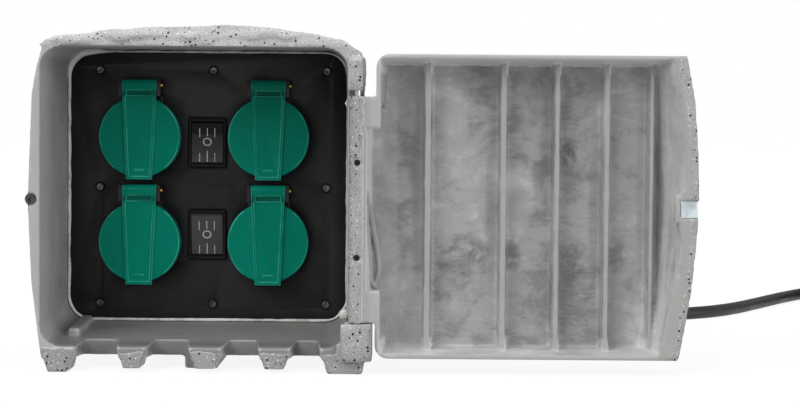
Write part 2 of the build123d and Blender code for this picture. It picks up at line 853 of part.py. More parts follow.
def socket_panel():
    """The black panel with holes for four sockets, two switches and eight screws."""
    panel = extrude(panel_edge(PANEL_GAP, PANEL_Y), amount=-PANEL_THICKNESS)
    y0 = PANEL_Y - 1
    y1 = LEDGE_Y + 1
    for x, z in SOCKET_SPOTS.values():
        panel = panel - rod_y(SOCKET_BODY_RADIUS + HOLE_GAP, y0, y1, x, z)
    for z in SWITCH_HEIGHTS.values():
        half_x = SWITCH_BODY_WIDTH / 2 + HOLE_GAP
        half_z = SWITCH_BODY_HEIGHT / 2 + HOLE_GAP
        panel = panel - block(
            SWITCH_X - half_x, SWITCH_X + half_x, y0, y1, z - half_z, z + half_z
        )
    for x, z in SCREW_SPOTS:
        panel = panel - rod_y(SCREW_SHANK_RADIUS + SCREW_HOLE_GAP, y0, y1, x, z)
    return first_solid(panel)


def panel_seal():
    """The bead of sealant that lies in the corner between panel and recess."""
    crest_start, crest_end = BEAD_CREST_SHARES
    outer = panel_edge(EPS, PANEL_Y)
    inner = panel_edge(BEAD_WIDTH, PANEL_Y)
    crest = panel_edge(crest_start * BEAD_WIDTH, proud(BEAD_PROUD))
    crest_inner = panel_edge(crest_end * BEAD_WIDTH, proud(BEAD_PROUD))
    solid = loft([outer, crest], ruled=True) - loft([inner, crest_inner], ruled=True)
    return first_solid(solid)


def panel_screws():
    """Eight cross-head screws that hold the panel."""
    screws = []
    for x, z in SCREW_SPOTS:
        top = proud(SCREW_HEAD_HEIGHT)
        brim = proud(SCREW_RIM_SHARE * SCREW_HEAD_HEIGHT)
        crown = SCREW_CROWN_SHARE * SCREW_HEAD_RADIUS
        head = cone_y(crown, SCREW_HEAD_RADIUS, top, brim, x, z)
        rim = rod_y(SCREW_HEAD_RADIUS, brim, PANEL_Y, x, z)
        shank = rod_y(SCREW_SHANK_RADIUS, PANEL_Y, PANEL_Y + SCREW_LENGTH, x, z)
        screws.append(head + rim + shank - cross_slot(x, top, z, -1))
    return screws


# Socket, its contacts and its lid


def socket_insert(x, z):
    """One black socket: flange, collar, cup, contact chambers and hinge lugs."""
    body = rod_y(FLANGE_RADIUS, proud(FLANGE_THICKNESS), PANEL_Y, x, z)
    body = body + rod_y(SOCKET_BODY_RADIUS, PANEL_Y, PANEL_Y + BODY_DEPTH, x, z)
    body = body + rod_y(SOCKET_COLLAR_RADIUS, proud(COLLAR_PROUD), PANEL_Y, x, z)
    lug_x = STRAP_TOP_WIDTH / 2 + LID_BARREL_GAP
    plate = block(
        x - lug_x - LUG_THICKNESS,
        x + lug_x + LUG_THICKNESS,
        proud(FLANGE_THICKNESS),
        PANEL_Y,
        z + SOCKET_COLLAR_RADIUS - 2,
        z + LUG_TOP,
    )
    body = body + plate
    for side in (-1, 1):
        inner = x + side * lug_x
        outer = inner + side * LUG_THICKNESS
        lug = block(
            min(inner, outer),
            max(inner, outer),
            proud(LUG_PROUD),
            PANEL_Y,
            z + LUG_BOTTOM,
            z + LUG_TOP,
        )
        body = body + lug
    cup_floor = proud(COLLAR_PROUD) + SOCKET_CUP_DEPTH
    body = body - rod_y(SOCKET_CUP_RADIUS, proud(COLLAR_PROUD) - 1, cup_floor, x, z)
    pocket_start = cup_floor + CUP_FLOOR_THICKNESS
    rear = PANEL_Y + BODY_DEPTH
    for side in (-1, 1):
        cx = x + side * CONTACT_SPACING / 2
        body = body - rod_y(CONTACT_ENTRY_RADIUS, cup_floor - 1, pocket_start + 1, cx, z)
        body = body - rod_y(
            CONTACT_RADIUS + CONTACT_POCKET_GAP, pocket_start, rear + 1, cx, z
        )
        slot_mid = z + side * (EARTH_STRIP_OFFSET + EARTH_STRIP_THICKNESS / 2)
        half = EARTH_STRIP_THICKNESS / 2 + EARTH_SLOT_GAP
        wide = EARTH_STRIP_WIDTH / 2 + EARTH_SLOT_GAP
        body = body - block(
            x - wide, x + wide, cup_floor - 1, rear + 1, slot_mid - half, slot_mid + half
        )
    body = body - rod_x(
        LID_PIN_RADIUS,
        x - 2 * lug_x,
        x + 2 * lug_x,
        proud(LID_AXIS_PROUD),
        z + LID_AXIS_UP,
    )
    return first_solid(body)


def ring_nuts():
    """The ring nuts that clamp the sockets from behind the panel."""
    nuts = []
    for x, z in SOCKET_SPOTS.values():
        ring = rod_y(RING_NUT_RADIUS, LEDGE_Y, LEDGE_Y + RING_NUT_THICKNESS, x, z)
        bore = SOCKET_BODY_RADIUS + RING_NUT_GAP
        nuts.append(ring - rod_y(bore, LEDGE_Y - 1, LEDGE_Y + RING_NUT_THICKNESS + 1, x, z))
    return nuts


def contact_front():
    """The y of the front ends of the contact tubes."""
    cup_floor = proud(COLLAR_PROUD) + SOCKET_CUP_DEPTH
    return cup_floor + CUP_FLOOR_THICKNESS + CONTACT_SET_BACK


def contact_rear():
    """The y of the back of the contacts' screw tails."""
    return contact_front() + CONTACT_LENGTH + CONTACT_TAIL


def contacts():
    """Eight spring tubes that take the plugs' pins, with their tails."""
    pieces = []
    start = contact_front()
    for x, z in SOCKET_SPOTS.values():
        for side in (-1, 1):
            cx = x + side * CONTACT_SPACING / 2
            barrel = rod_y(CONTACT_RADIUS, start, contact_rear(), cx, z)
            bore = rod_y(CONTACT_BORE_RADIUS, start - 1, start + CONTACT_LENGTH, cx, z)
            pieces.append(barrel - bore)
    return pieces


def earth_bridge_y():
    """The y of the back face of the earth clips' bridge."""
    return PANEL_Y + BODY_DEPTH + EARTH_BRIDGE_GAP + EARTH_STRIP_THICKNESS


def earth_clips():
    """Four earth clips: two spring strips in the cup, joined behind the socket."""
    pieces = []
    for x, z in SOCKET_SPOTS.values():
        half = EARTH_STRIP_WIDTH / 2
        y1 = earth_bridge_y()
        outer = EARTH_STRIP_OFFSET + EARTH_STRIP_THICKNESS
        bridge = block(x - half, x + half, y1 - EARTH_STRIP_THICKNESS, y1, z - outer, z + outer)
        clip = bridge
        y0 = proud(EARTH_STRIP_PROUD)
        for side in (-1, 1):
            z0 = z + side * EARTH_STRIP_OFFSET
            z1 = z + side * outer
            clip = clip + block(x - half, x + half, y0, y1, min(z0, z1), max(z0, z1))
        pieces.append(clip)
    return pieces


def strap_outline(x, z, inset, top, end):
    """The strap's tapered front outline between heights top and end."""
    span = LID_AXIS_UP + STRAP_BELOW

    def half(height):
        share = (z + LID_AXIS_UP - height) / span
        wide = STRAP_TOP_WIDTH + (STRAP_END_WIDTH - STRAP_TOP_WIDTH) * share
        return wide / 2 - inset

    return [
        (x - half(end), end),
        (x + half(end), end),
        (x + half(top), top),
        (x - half(top), top),
    ]


def lid(x, z):
    """One lid: a shallow cap, a tapered strap over it and the hinge barrel."""
    axis_y = proud(LID_AXIS_PROUD)
    axis_z = z + LID_AXIS_UP
    cap = rod_y(LID_RADIUS, proud(LID_FACE_PROUD), proud(LID_SKIRT_PROUD), x, z)
    cap = fillet(cap.edges().filter_by(GeomType.CIRCLE).sort_by(Axis.Y)[0], LID_EDGE_RADIUS)
    strap = ruled(
        [
            (strap_outline(x, z, 0, axis_z, z - STRAP_BELOW), proud(STRAP_PROUD)),
            (
                strap_outline(x, z, 0, axis_z, z - STRAP_BELOW),
                proud(LID_FACE_PROUD - LID_WALL),
            ),
        ]
    )
    half = STRAP_TOP_WIDTH / 2
    barrel = rod_x(LID_BARREL_RADIUS, x - half, x + half, axis_y, axis_z)
    body = cap + strap + barrel
    inner = LID_RADIUS - LID_WALL
    body = body - rod_y(
        inner, proud(LID_FACE_PROUD - LID_WALL), proud(LID_SKIRT_PROUD) + 1, x, z
    )
    body = body - block(
        x - LID_RADIUS - 1,
        x + LID_RADIUS + 1,
        proud(LID_HINGE_SKIRT_PROUD),
        proud(LID_SKIRT_PROUD) + 1,
        z + LID_HINGE_CUT,
        z + LID_RADIUS + 1,
    )
    field = strap_outline(x, z, STRAP_BORDER, z + STRAP_FIELD_TOP, z - STRAP_FIELD_END)
    body = body - ruled(
        [(field, proud(STRAP_PROUD) - 1), (field, proud(STRAP_PROUD - STRAP_FIELD_DEPTH))]
    )
    recess_half = HINGE_RECESS_WIDTH / 2
    body = body - block(
        x - recess_half,
        x + recess_half,
        proud(STRAP_PROUD) - 1,
        proud(STRAP_PROUD - HINGE_RECESS_DEPTH),
        z + STRAP_FIELD_TOP,
        z + STRAP_FIELD_TOP + HINGE_RECESS_HEIGHT,
    )
    body = body - rod_x(
        LID_PIN_RADIUS + LID_PIN_PLAY, x - half - 1, x + half + 1, axis_y, axis_z
    )
    # The spring sits in the barrel's middle, open towards the panel
    body = body - rod_x(
        SPRING_POCKET_RADIUS,
        x - SPRING_POCKET_HALF,
        x + SPRING_POCKET_HALF,
        axis_y,
        axis_z,
    )
    body = body - block(
        x - SPRING_POCKET_HALF,
        x + SPRING_POCKET_HALF,
        axis_y + SPRING_SLOT_BEHIND,
        axis_y + 2 * LID_BARREL_RADIUS,
        axis_z - SPRING_SLOT_SHARE * LID_BARREL_RADIUS,
        axis_z + LID_BARREL_RADIUS + 1,
    )
    mark = block(
        x - MARK_WIDTH / 2,
        x + MARK_WIDTH / 2,
        proud(STRAP_PROUD - STRAP_FIELD_DEPTH + MARK_PROUD),
        proud(STRAP_PROUD - STRAP_FIELD_DEPTH - MARK_PROUD),
        z - MARK_BELOW,
        z - MARK_BELOW + MARK_HEIGHT,
    )
    return first_solid(body + mark)


def lid_seal(x, z):
    """The soft ring inside a lid that closes on the socket's collar."""
    roof = proud(LID_FACE_PROUD - LID_WALL)
    outer = LID_RADIUS - LID_WALL - LID_SEAL_PLAY
    under = min(LID_SEAL_THICKNESS, LID_FACE_PROUD - LID_WALL - COLLAR_PROUD - LID_SEAL_GAP)
    ring = rod_y(outer, roof, roof + under, x, z)
    return ring - rod_y(outer - LID_SEAL_WIDTH, roof - 1, roof + under + 1, x, z)


def lid_pins():
    """Four brass pins that the lids turn on."""
    reach = STRAP_TOP_WIDTH / 2 + LID_BARREL_GAP + LUG_THICKNESS
    pins = []
    for x, z in SOCKET_SPOTS.values():
        pins.append(
            rod_x(
                LID_PIN_RADIUS,
                x - reach,
                x + reach + LID_PIN_OVERHANG,
                proud(LID_AXIS_PROUD),
                z + LID_AXIS_UP,
            )
        )
    return pins


def lid_springs():
    """Four torsion springs, one on each pin, with a leg on the lid and one on the socket."""
    springs = []
    for x, z in SOCKET_SPOTS.values():
        start_x = x - SPRING_TURNS * SPRING_PITCH / 2
        axis = Vector(0, proud(LID_AXIS_PROUD), z + LID_AXIS_UP)

        def place(turn, start_x=start_x, axis=axis):
            angle = -math.pi / 2 - 2 * math.pi * turn
            return Vector(
                start_x + SPRING_PITCH * turn,
                axis.Y + SPRING_COIL_RADIUS * math.sin(angle),
                axis.Z + SPRING_COIL_RADIUS * math.cos(angle),
            )

        leg = LID_AXIS_PROUD - FLANGE_THICKNESS
        spring, length = wound_tube(
            place, SPRING_TURNS, COIL_ARCS, SPRING_WIRE_RADIUS, SPRING_HOOK, leg
        )
        springs.append(spring)
    gap = least_gap(place, SPRING_TURNS, SPRING_WIRE_RADIUS)
    print("lid spring: wire length", round(length, 1), "least gap", round(gap, 2))
    return springs


# Rocker switches


def switch_body(z):
    """One switch: bezel, body behind the panel and the pocket for its rocker."""
    x = SWITCH_X
    half_x = BEZEL_WIDTH / 2
    half_z = BEZEL_HEIGHT / 2
    bezel = rounded(
        x - half_x, x + half_x, z - half_z, z + half_z, BEZEL_RADIUS, proud(BEZEL_PROUD)
    )
    body = extrude(bezel, amount=-BEZEL_PROUD)
    body = chamfer(body.faces().sort_by(Axis.Y)[0].edges(), BEZEL_CHAMFER)
    half_x = SWITCH_BODY_WIDTH / 2
    half_z = SWITCH_BODY_HEIGHT / 2
    body = body + block(
        x - half_x,
        x + half_x,
        PANEL_Y - EPS,
        PANEL_Y + SWITCH_BODY_DEPTH,
        z - half_z,
        z + half_z,
    )
    axis_y = PANEL_Y + ROCKER_AXIS_DEPTH
    pocket_half = ROCKER_WIDTH / 2 + ROCKER_GAP
    pocket = rod_x(
        ROCKER_RADIUS + ROCKER_GAP, x - pocket_half, x + pocket_half, axis_y, z
    )
    keep = block(
        x - half_x,
        x + half_x,
        PANEL_Y - REACH_THROUGH,
        axis_y + ROCKER_POCKET_DEPTH,
        z - half_z,
        z + half_z,
    )
    body = body - (pocket & keep)
    pin_half = ROCKER_WIDTH / 2 + ROCKER_PIN_LENGTH + ROCKER_PIN_END_GAP
    body = body - rod_x(
        ROCKER_PIN_RADIUS + ROCKER_PIN_PLAY, x - pin_half, x + pin_half, axis_y, z
    )
    for blade in terminal_blades(z):
        body = body - blade
    return first_solid(body)


def rocker(z, tilt):
    """One rocker with a flat face, turned about its pins by tilt degrees."""
    x = SWITCH_X
    axis_y = PANEL_Y + ROCKER_AXIS_DEPTH
    half = ROCKER_WIDTH / 2
    face = proud(ROCKER_FACE_PROUD)
    edge = face + ROCKER_EDGE_DROP
    under = axis_y + ROCKER_UNDER
    big = ROCKER_RADIUS + EPS
    section = [
        (face, z - ROCKER_FACE_HALF),
        (face, z + ROCKER_FACE_HALF),
        (edge, z + big),
        (under, z + big),
        (under, z - big),
        (edge, z - big),
    ]
    body = prism_x(section, x - half, x + half)
    body = body & rod_x(ROCKER_RADIUS, x - half, x + half, axis_y, z)
    pin = half + ROCKER_PIN_LENGTH
    body = body + rod_x(ROCKER_PIN_RADIUS, x - pin, x + pin, axis_y, z)
    turned = first_solid(body).rotate(Axis((x, axis_y, z), (1, 0, 0)), tilt)
    return first_solid(turned)


def terminal_blades(z):
    """The flat blades of one switch, three rows of two."""
    blades = []
    y0 = PANEL_Y + SWITCH_BODY_DEPTH - TERMINAL_ROOT
    y1 = PANEL_Y + SWITCH_BODY_DEPTH + TERMINAL_LENGTH
    half_w = TERMINAL_WIDTH / 2
    half_t = TERMINAL_THICKNESS / 2
    for column in (-0.5, 0.5):
        for row in (-1, 0, 1):
            bx = SWITCH_X + column * TERMINAL_PITCH_X
            bz = z + row * TERMINAL_PITCH_Z
            blades.append(
                block(bx - half_w, bx + half_w, y0, y1, bz - half_t, bz + half_t)
            )
    return blades


# Door


def free_edge(low, high, inner):
    """The bowed free side of the door from its foot to its top, across from the axis."""
    reach = DOOR_REACH - inner
    return [
        (reach - 11.2, low),
        (reach - 8.0, DOOR_BOTTOM + 17.0),
        (reach - 4.0, DOOR_BOTTOM + 41.0),
        (reach - 1.2, DOOR_BOTTOM + 70.0),
        (reach, DOOR_BOTTOM + 92.0),
        (reach - 0.9, DOOR_TOP - 56.0),
        (reach - 3.2, DOOR_TOP - 26.0),
        (reach - 8.2, high),
    ]


def door_outline(inset, free_inset, hinge_inset):
    """The tray's outline: hinge side stepped round the corner blocks."""
    low = DOOR_BOTTOM + inset
    high = DOOR_TOP - inset
    corner = HINGE_X + DOOR_CORNER_OFF + hinge_inset
    middle = HINGE_X + DOOR_BARREL_OFF + hinge_inset
    points = [(corner, low)]
    points += [(HINGE_X + x, z) for x, z in free_edge(low, high, free_inset)]
    points += [
        (corner, high),
        (corner, BARREL_TOP - hinge_inset),
        (middle, BARREL_TOP - hinge_inset),
        (middle, BARREL_BOTTOM + hinge_inset),
        (corner, BARREL_BOTTOM + hinge_inset),
    ]
    return points


def door_tray():
    """The tray's outer shape, crowned like the boulder's face."""
    stations = [
        (door_outline(0.0, 0.0, 0.0), FRONT),
        (door_outline(1.0, 2.0, 1.0), FRONT + DOOR_WAIST),
        (door_outline(4.0, 7.5, 4.0), FRONT + DOOR_CROWN),
        (door_outline(28.0, 36.0, 22.0), FRONT + DOOR_DEPTH),
    ]
    return ruled(stations)


def door_hollow():
    """The tray's inside, with a broad leaning wall on the free side."""
    mouth = door_outline(DOOR_RIM, DOOR_FREE_RIM, DOOR_WALL)
    floor = door_outline(
        DOOR_RIM + DOOR_WALL, DOOR_FREE_RIM + DOOR_FREE_LEAN, DOOR_WALL + DOOR_HINGE_LEAN
    )
    return ruled([(mouth, FRONT - EPS), (floor, FRONT + DOOR_FLOOR_DEPTH)])


def door_shell():
    """The door: tray, ribs, lugs and the long hinge barrel."""
    hollow = door_hollow()
    body = door_tray() - hollow
    inside = first_solid(hollow + body)
    floor = FRONT + DOOR_FLOOR_DEPTH
    for share, thickness in zip(RIB_SHARES, RIB_THICKNESSES):
        x = HINGE_X + share * DOOR_REACH
        low = DOOR_BOTTOM + DOOR_RIM + RIB_END_GAP
        high = DOOR_TOP - DOOR_RIM - RIB_END_GAP
        half = thickness / 2
        crest = [(x - half, low), (x + half, low), (x + half, high), (x - half, high)]
        wide = half + RIB_DRAFT
        root = [(x - wide, low), (x + wide, low), (x + wide, high), (x - wide, high)]
        rib = ruled([(crest, floor - RIB_HEIGHT), (root, floor + OVERLAP)])
        body = body + (rib & inside)
    for z in (BARREL_BOTTOM, BARREL_TOP - LUG_HEIGHT):
        body = body + block(
            HINGE_X + DOOR_BARREL_OFF,
            HINGE_X + LUG_REACH,
            FRONT,
            FRONT + LUG_DEPTH,
            z,
            z + LUG_HEIGHT,
        )
    body = body + rod_z(BARREL_RADIUS, BARREL_BOTTOM, BARREL_TOP, HINGE_X, HINGE_Y)
    web = block(
        HINGE_X,
        HINGE_X + BARREL_RADIUS + DOOR_WALL / 2,
        FRONT,
        FRONT + BARREL_WEB,
        BARREL_BOTTOM,
        BARREL_TOP,
    )
    body = body + web
    body = body - rod_z(
        HINGE_PIN_RADIUS + HINGE_PIN_PLAY, BARREL_BOTTOM - 1, BARREL_TOP + 1, HINGE_X, HINGE_Y
    )
    for z in BARREL_HOLE_HEIGHTS:
        body = body - rod_y(
            BARREL_HOLE_RADIUS, FRONT - REACH_THROUGH, HINGE_Y, HINGE_X, z
        )
    # Bed for the magnet, grown out of the free rim
    half = MAGNET_SIDE / 2
    tall = MAGNET_TALL / 2
    mx = MAGNET_X
    bed = block(
        mx - half - MAGNET_BED,
        HINGE_X + DOOR_REACH - MAGNET_BED_END,
        FRONT,
        FRONT + MAGNET_BED_DEPTH,
        MAGNET_HEIGHT - tall - MAGNET_BED,
        MAGNET_HEIGHT + tall + MAGNET_BED,
    )
    body = body + bed
    body = body - block(
        mx - half,
        mx + half,
        FRONT - 1,
        FRONT + MAGNET_THICKNESS,
        MAGNET_HEIGHT - tall,
        MAGNET_HEIGHT + tall,
    )
    solid = first_solid(body)
    corners = [
        edge
        for edge in solid.edges()
        if abs(edge.center().X - HINGE_X - DOOR_CORNER_OFF) < 2.0
        and edge.center().Y < FRONT + DOOR_WAIST
        and edge.length > 10.0
        and abs(edge.tangent_at(0.5).Y) > 0.9
        and (edge.center().Z < BARREL_BOTTOM - 5 or edge.center().Z > BARREL_TOP + 5)
    ]
    return first_solid(fillet(corners, DOOR_CORNER_RADIUS)) if corners else solid


def door_magnet():
    """The square magnet in the door's free rim."""
    half = MAGNET_SIDE / 2
    tall = MAGNET_TALL / 2
    x = MAGNET_X
    return block(
        x - half,
        x + half,
        FRONT,
        FRONT + MAGNET_THICKNESS,
        MAGNET_HEIGHT - tall,
        MAGNET_HEIGHT + tall,
    )


def catch_screw():
    """The steel screw in the housing's rim that the magnet holds on to."""
    x = CATCH_X
    face = FRONT - CATCH_HEAD_PROUD
    head = rod_y(CATCH_HEAD_RADIUS, face, face + CATCH_HEAD_HEIGHT, x, CATCH_HEIGHT)
    shank = rod_y(
        CATCH_SHANK_RADIUS,
        face + CATCH_HEAD_HEIGHT,
        FRONT + CATCH_LENGTH,
        x,
        CATCH_HEIGHT,
    )
    return head + shank - cross_slot(x, face, CATCH_HEIGHT, -1)


def hinge_pin():
    """The long steel pin of the door hinge."""
    return rod_z(
        HINGE_PIN_RADIUS,
        LOWER_BLOCK_TOP - PIN_SEAT,
        UPPER_BLOCK_BOTTOM + PIN_TOP_SEAT - PIN_TOP_GAP,
        HINGE_X,
        HINGE_Y,
    )


# Cable entry, terminal block and wiring


def cable_bush():
    """The rubber bush: flange inside, neck in the wall, long taper outside."""
    x = CABLE_EXIT_X
    z = CABLE_EXIT_Z
    flange = rod_y(
        BUSH_FLANGE_RADIUS, INNER_BACK - BUSH_FLANGE_THICKNESS, INNER_BACK, x, z
    )
    neck = rod_y(BUSH_NECK_RADIUS, INNER_BACK, BACK, x, z)
    taper = cone_y(BUSH_ROOT_RADIUS, BUSH_TIP_RADIUS, BACK, BACK + BUSH_LENGTH, x, z)
    bore = rod_y(CABLE_RADIUS, INNER_BACK - REAR_WALL, BACK + BUSH_LENGTH + 1, x, z)
    return flange + neck + taper - bore


def cable_inner():
    """The sheathed lead inside the bush and the housing, up to its clamp."""
    z = CABLE_EXIT_Z
    bend_y = INNER_BACK - INNER_DEPTH
    points = [
        (CABLE_EXIT_X, BACK + BUSH_LENGTH, z),
        (CABLE_EXIT_X, bend_y, z),
        (INNER_END_X, bend_y, z),
    ]
    solid, length = tube(points, [INNER_BEND], CABLE_RADIUS)
    print("lead inside the housing:", round(length, 1), "mm")
    return solid


def cord_clamp():
    """The clamp on the housing floor that holds the sheath."""
    y = INNER_BACK - INNER_DEPTH
    x1 = INNER_END_X + CLAMP_LENGTH
    body = block(
        INNER_END_X,
        x1,
        y - CLAMP_WIDTH / 2,
        y + CLAMP_WIDTH / 2,
        FLOOR_LIFT + REAR_WALL,
        CABLE_EXIT_Z + CLAMP_HEIGHT / 2,
    )
    return body - rod_x(CABLE_RADIUS, INNER_END_X - 1, x1 + 1, y, CABLE_EXIT_Z)


def terminal_block():
    """The mains terminal block on the rear wall."""
    y0 = INNER_BACK - BLOCK_DEPTH
    body = block(
        -BLOCK_WIDTH / 2,
        BLOCK_WIDTH / 2,
        y0,
        INNER_BACK,
        BLOCK_BOTTOM,
        BLOCK_BOTTOM + BLOCK_HEIGHT,
    )
    z = BLOCK_BOTTOM + BLOCK_HEIGHT / 2
    for i in range(BLOCK_WAYS):
        x = (i - (BLOCK_WAYS - 1) / 2) * BLOCK_WIDTH / BLOCK_WAYS
        body = body - rod_y(BLOCK_BORE_RADIUS, y0 - 1, y0 + BLOCK_DEPTH / 2, x, z)
    return body


def circuit(layer, level, start, contact_offset, target_y):
    """Two wires of one colour: from the block to both sockets of each column."""
    pieces = []
    low = BLOCK_BOTTOM + BLOCK_HEIGHT
    for side, column in ((-1, "left"), (1, "right")):
        x, high = SOCKET_SPOTS[column + "_upper"]
        tap = SOCKET_SPOTS[column + "_lower"][1]
        x = x + contact_offset
        points = [
            (side * start, layer, low),
            (side * start, layer, level),
            (x, layer, level),
            (x, layer, high),
            (x, target_y, high),
        ]
        radii = [min(WIRE_BEND, 0.9 * (level - low)), WIRE_TIGHT_BEND, WIRE_TIGHT_BEND]
        wire, _ = tube(points, radii, WIRE_RADIUS)
        wire = wire + rod_y(WIRE_TAP_RADIUS, target_y, layer, x, tap)
        pieces.append(first_solid(wire))
    return pieces


def switch_wires():
    """One wire from the block to each switch."""
    pieces = []
    y = WIRE_LAYERS[0]
    low = BLOCK_BOTTOM + BLOCK_HEIGHT
    target = PANEL_Y + SWITCH_BODY_DEPTH + TERMINAL_LENGTH
    for side, height in ((-1, SWITCH_HEIGHTS["lower"]), (1, SWITCH_HEIGHTS["upper"])):
        x = SWITCH_X + side * TERMINAL_PITCH_X / 2
        points = [(x, y, low), (x, y, height), (x, target, height)]
        wire, _ = tube(points, [WIRE_BEND], WIRE_RADIUS)
        pieces.append(wire)
    return pieces


def cable_cores():
    """Three cores from the end of the sheath up to the block."""
    pieces = []
    y = INNER_BACK - INNER_DEPTH
    for i, offset in enumerate(CORE_LAYERS):
        x = INNER_END_X - CORE_FIRST_RUN - CORE_STEP * i
        y_top = INNER_BACK - BLOCK_DEPTH / 2 + offset
        points = [
            (INNER_END_X, y + offset, CABLE_EXIT_Z),
            (x, y + offset, CABLE_EXIT_Z),
            (x, y_top, CABLE_EXIT_Z + CORE_RISE),
            (x, y_top, BLOCK_BOTTOM),
        ]
        wire, _ = tube(points, CORE_BENDS, WIRE_RADIUS)
        pieces.append(wire)
    return pieces


# Supply lead outside the housing: free stretch, coil, tail and plug


def lead_route():
    """The free stretch on the ground from the bush to the coil."""
    ground = CABLE_RADIUS
    way = coil_way(0.0, SMALL_TURN)
    end = coil_place(0.0) - way * COIL_LEAD
    exit_y = BACK + BUSH_LENGTH
    return [
        (CABLE_EXIT_X, exit_y, CABLE_EXIT_Z),
        (CABLE_EXIT_X, exit_y + 28.0, CABLE_EXIT_Z),
        (46.0, 168.0, 12.5),
        (66.0, 199.0, ground),
        (104.0, 220.0, ground),
        (158.0, 229.0, ground),
        (214.0, 234.5, ground),
        (268.0, 235.0, ground),
        (318.0, 247.0, ground),
        (360.0, 269.0, ground),
        (391.0, 304.0, ground),
        (420.0, 352.0, ground),
        tuple(end - way * LEAD_LAST_RUN),
        tuple(end),
    ]


def coil_place(turn):
    """A point of the coil's line: in along the ground layer, out again on top of it."""
    heading = math.radians(COIL_HEADING)
    outer = coil_radius(0.0)
    centre_x = COIL_START[0] + outer * math.sin(heading)
    centre_y = COIL_START[1] - outer * math.cos(heading)
    angle = heading + math.pi / 2 - 2 * math.pi * turn
    radius = coil_radius(turn)
    middle = COIL_TURNS / 2
    share = (turn - middle) / COIL_CLIMB_TURNS + 0.5
    share = min(max(share, 0.0), 1.0)
    climb = share * share * (3 - 2 * share)
    height = CABLE_RADIUS + TIE_THICKNESS + climb * COIL_STEP
    return Vector(
        centre_x + radius * math.cos(angle), centre_y + radius * math.sin(angle), height
    )


def coil_way(turn, later):
    """The coil's direction between two turns close together."""
    return (coil_place(later) - coil_place(turn)).normalized()


def coil_radius(turn):
    """The coil's radius at this turn: it spirals in, then out at the same rate."""
    return COIL_MIDDLE_RADIUS + COIL_STEP * (abs(turn - COIL_TURNS / 2) - COIL_TURNS / 4)


def tail_points():
    """The short run from the coil's end to the plug, which lies beside the coil."""
    end = coil_place(COIL_TURNS)
    way = coil_way(COIL_TURNS - SMALL_TURN, COIL_TURNS)
    start = end + way * COIL_LEAD
    flat = Vector(way.X, way.Y, 0).normalized()
    entry = start + flat * PLUG_TAIL
    rise = PLUG_RADIUS - start.Z
    first, second = PLUG_TAIL_SHARES
    points = [
        start,
        start + way * first * PLUG_TAIL,
        start + flat * second * PLUG_TAIL + Vector(0, 0, rise),
        Vector(entry.X, entry.Y, PLUG_RADIUS),
    ]
    return points, flat


def supply_lead():
    """The free stretch, the coil and the tail, with their lengths and radii."""
    route = lead_route()
    radii = corner_radii(route)
    print("free stretch radii:", [round(r) for r in radii])
    stretch, stretch_length = tube(route, radii, CABLE_RADIUS)
    coil, coil_length = wound_tube(
        coil_place, COIL_TURNS, COIL_ARCS, CABLE_RADIUS, COIL_LEAD, COIL_LEAD
    )
    points, _ = tail_points()
    tail_radii = corner_radii([tuple(p) for p in points])
    tail, tail_length = tube([tuple(p) for p in points], tail_radii, CABLE_RADIUS)
    area = math.pi * CABLE_RADIUS**2
    for name, solid, length in (
        ("free stretch", stretch, stretch_length),
        ("coil", coil, coil_length),
        ("tail", tail, tail_length),
    ):
        share = solid.volume / (area * length)
        print(name, "length", round(length, 1), "volume over section x length", round(share, 4))
    gap = least_gap(coil_place, COIL_TURNS, CABLE_RADIUS)
    print("coil least gap to itself:", round(gap, 2), "tail radii:", [round(r) for r in tail_radii])
    print("lead outside the bush:", round(stretch_length + coil_length + tail_length, 1), "mm")
    return stretch, coil, tail


def coil_tie():
    """The strap that holds the coil's turns together."""
    here = coil_place(TIE_TURN)
    centre_x = COIL_START[0] + coil_radius(0.0) * math.sin(math.radians(COIL_HEADING))
    centre_y = COIL_START[1] - coil_radius(0.0) * math.cos(math.radians(COIL_HEADING))
    out = Vector(here.X - centre_x, here.Y - centre_y, 0).normalized()
    across = Vector(-out.Y, out.X, 0)
    inner = COIL_MIDDLE_RADIUS - COIL_STEP * COIL_TURNS / 4 - CABLE_RADIUS - 2 * TIE_GAP
    outer = COIL_MIDDLE_RADIUS + COIL_STEP * COIL_TURNS / 4 + CABLE_RADIUS + TIE_GAP
    low = TIE_THICKNESS - EPS
    high = TIE_THICKNESS + 2 * CABLE_RADIUS + COIL_STEP + TIE_GAP
    middle = Vector(centre_x, centre_y, 0) + out * (inner + outer) / 2
    plane = Plane(origin=middle, x_dir=out, z_dir=across)
    span = outer - inner
    tall = high - low
    up = Pos(0, (low + high) / 2) if plane.y_dir.Z > 0 else Pos(0, -(low + high) / 2)
    hole = plane * up * RectangleRounded(span, tall, TIE_CORNER)
    skin = plane * up * RectangleRounded(
        span + 2 * TIE_THICKNESS,
        tall + 2 * TIE_THICKNESS - 2 * EPS,
        TIE_CORNER + TIE_THICKNESS,
    )
    band = extrude(skin, amount=TIE_WIDTH / 2, both=True)
    return first_solid(band - extrude(hole, amount=TIE_WIDTH, both=True))


def plug_frame():
    """The plane at the lead's entry into the plug; its Z runs out along the pins."""
    points, flat = tail_points()
    return Plane(origin=points[-1], x_dir=Vector(-flat.Y, flat.X, 0), z_dir=flat)


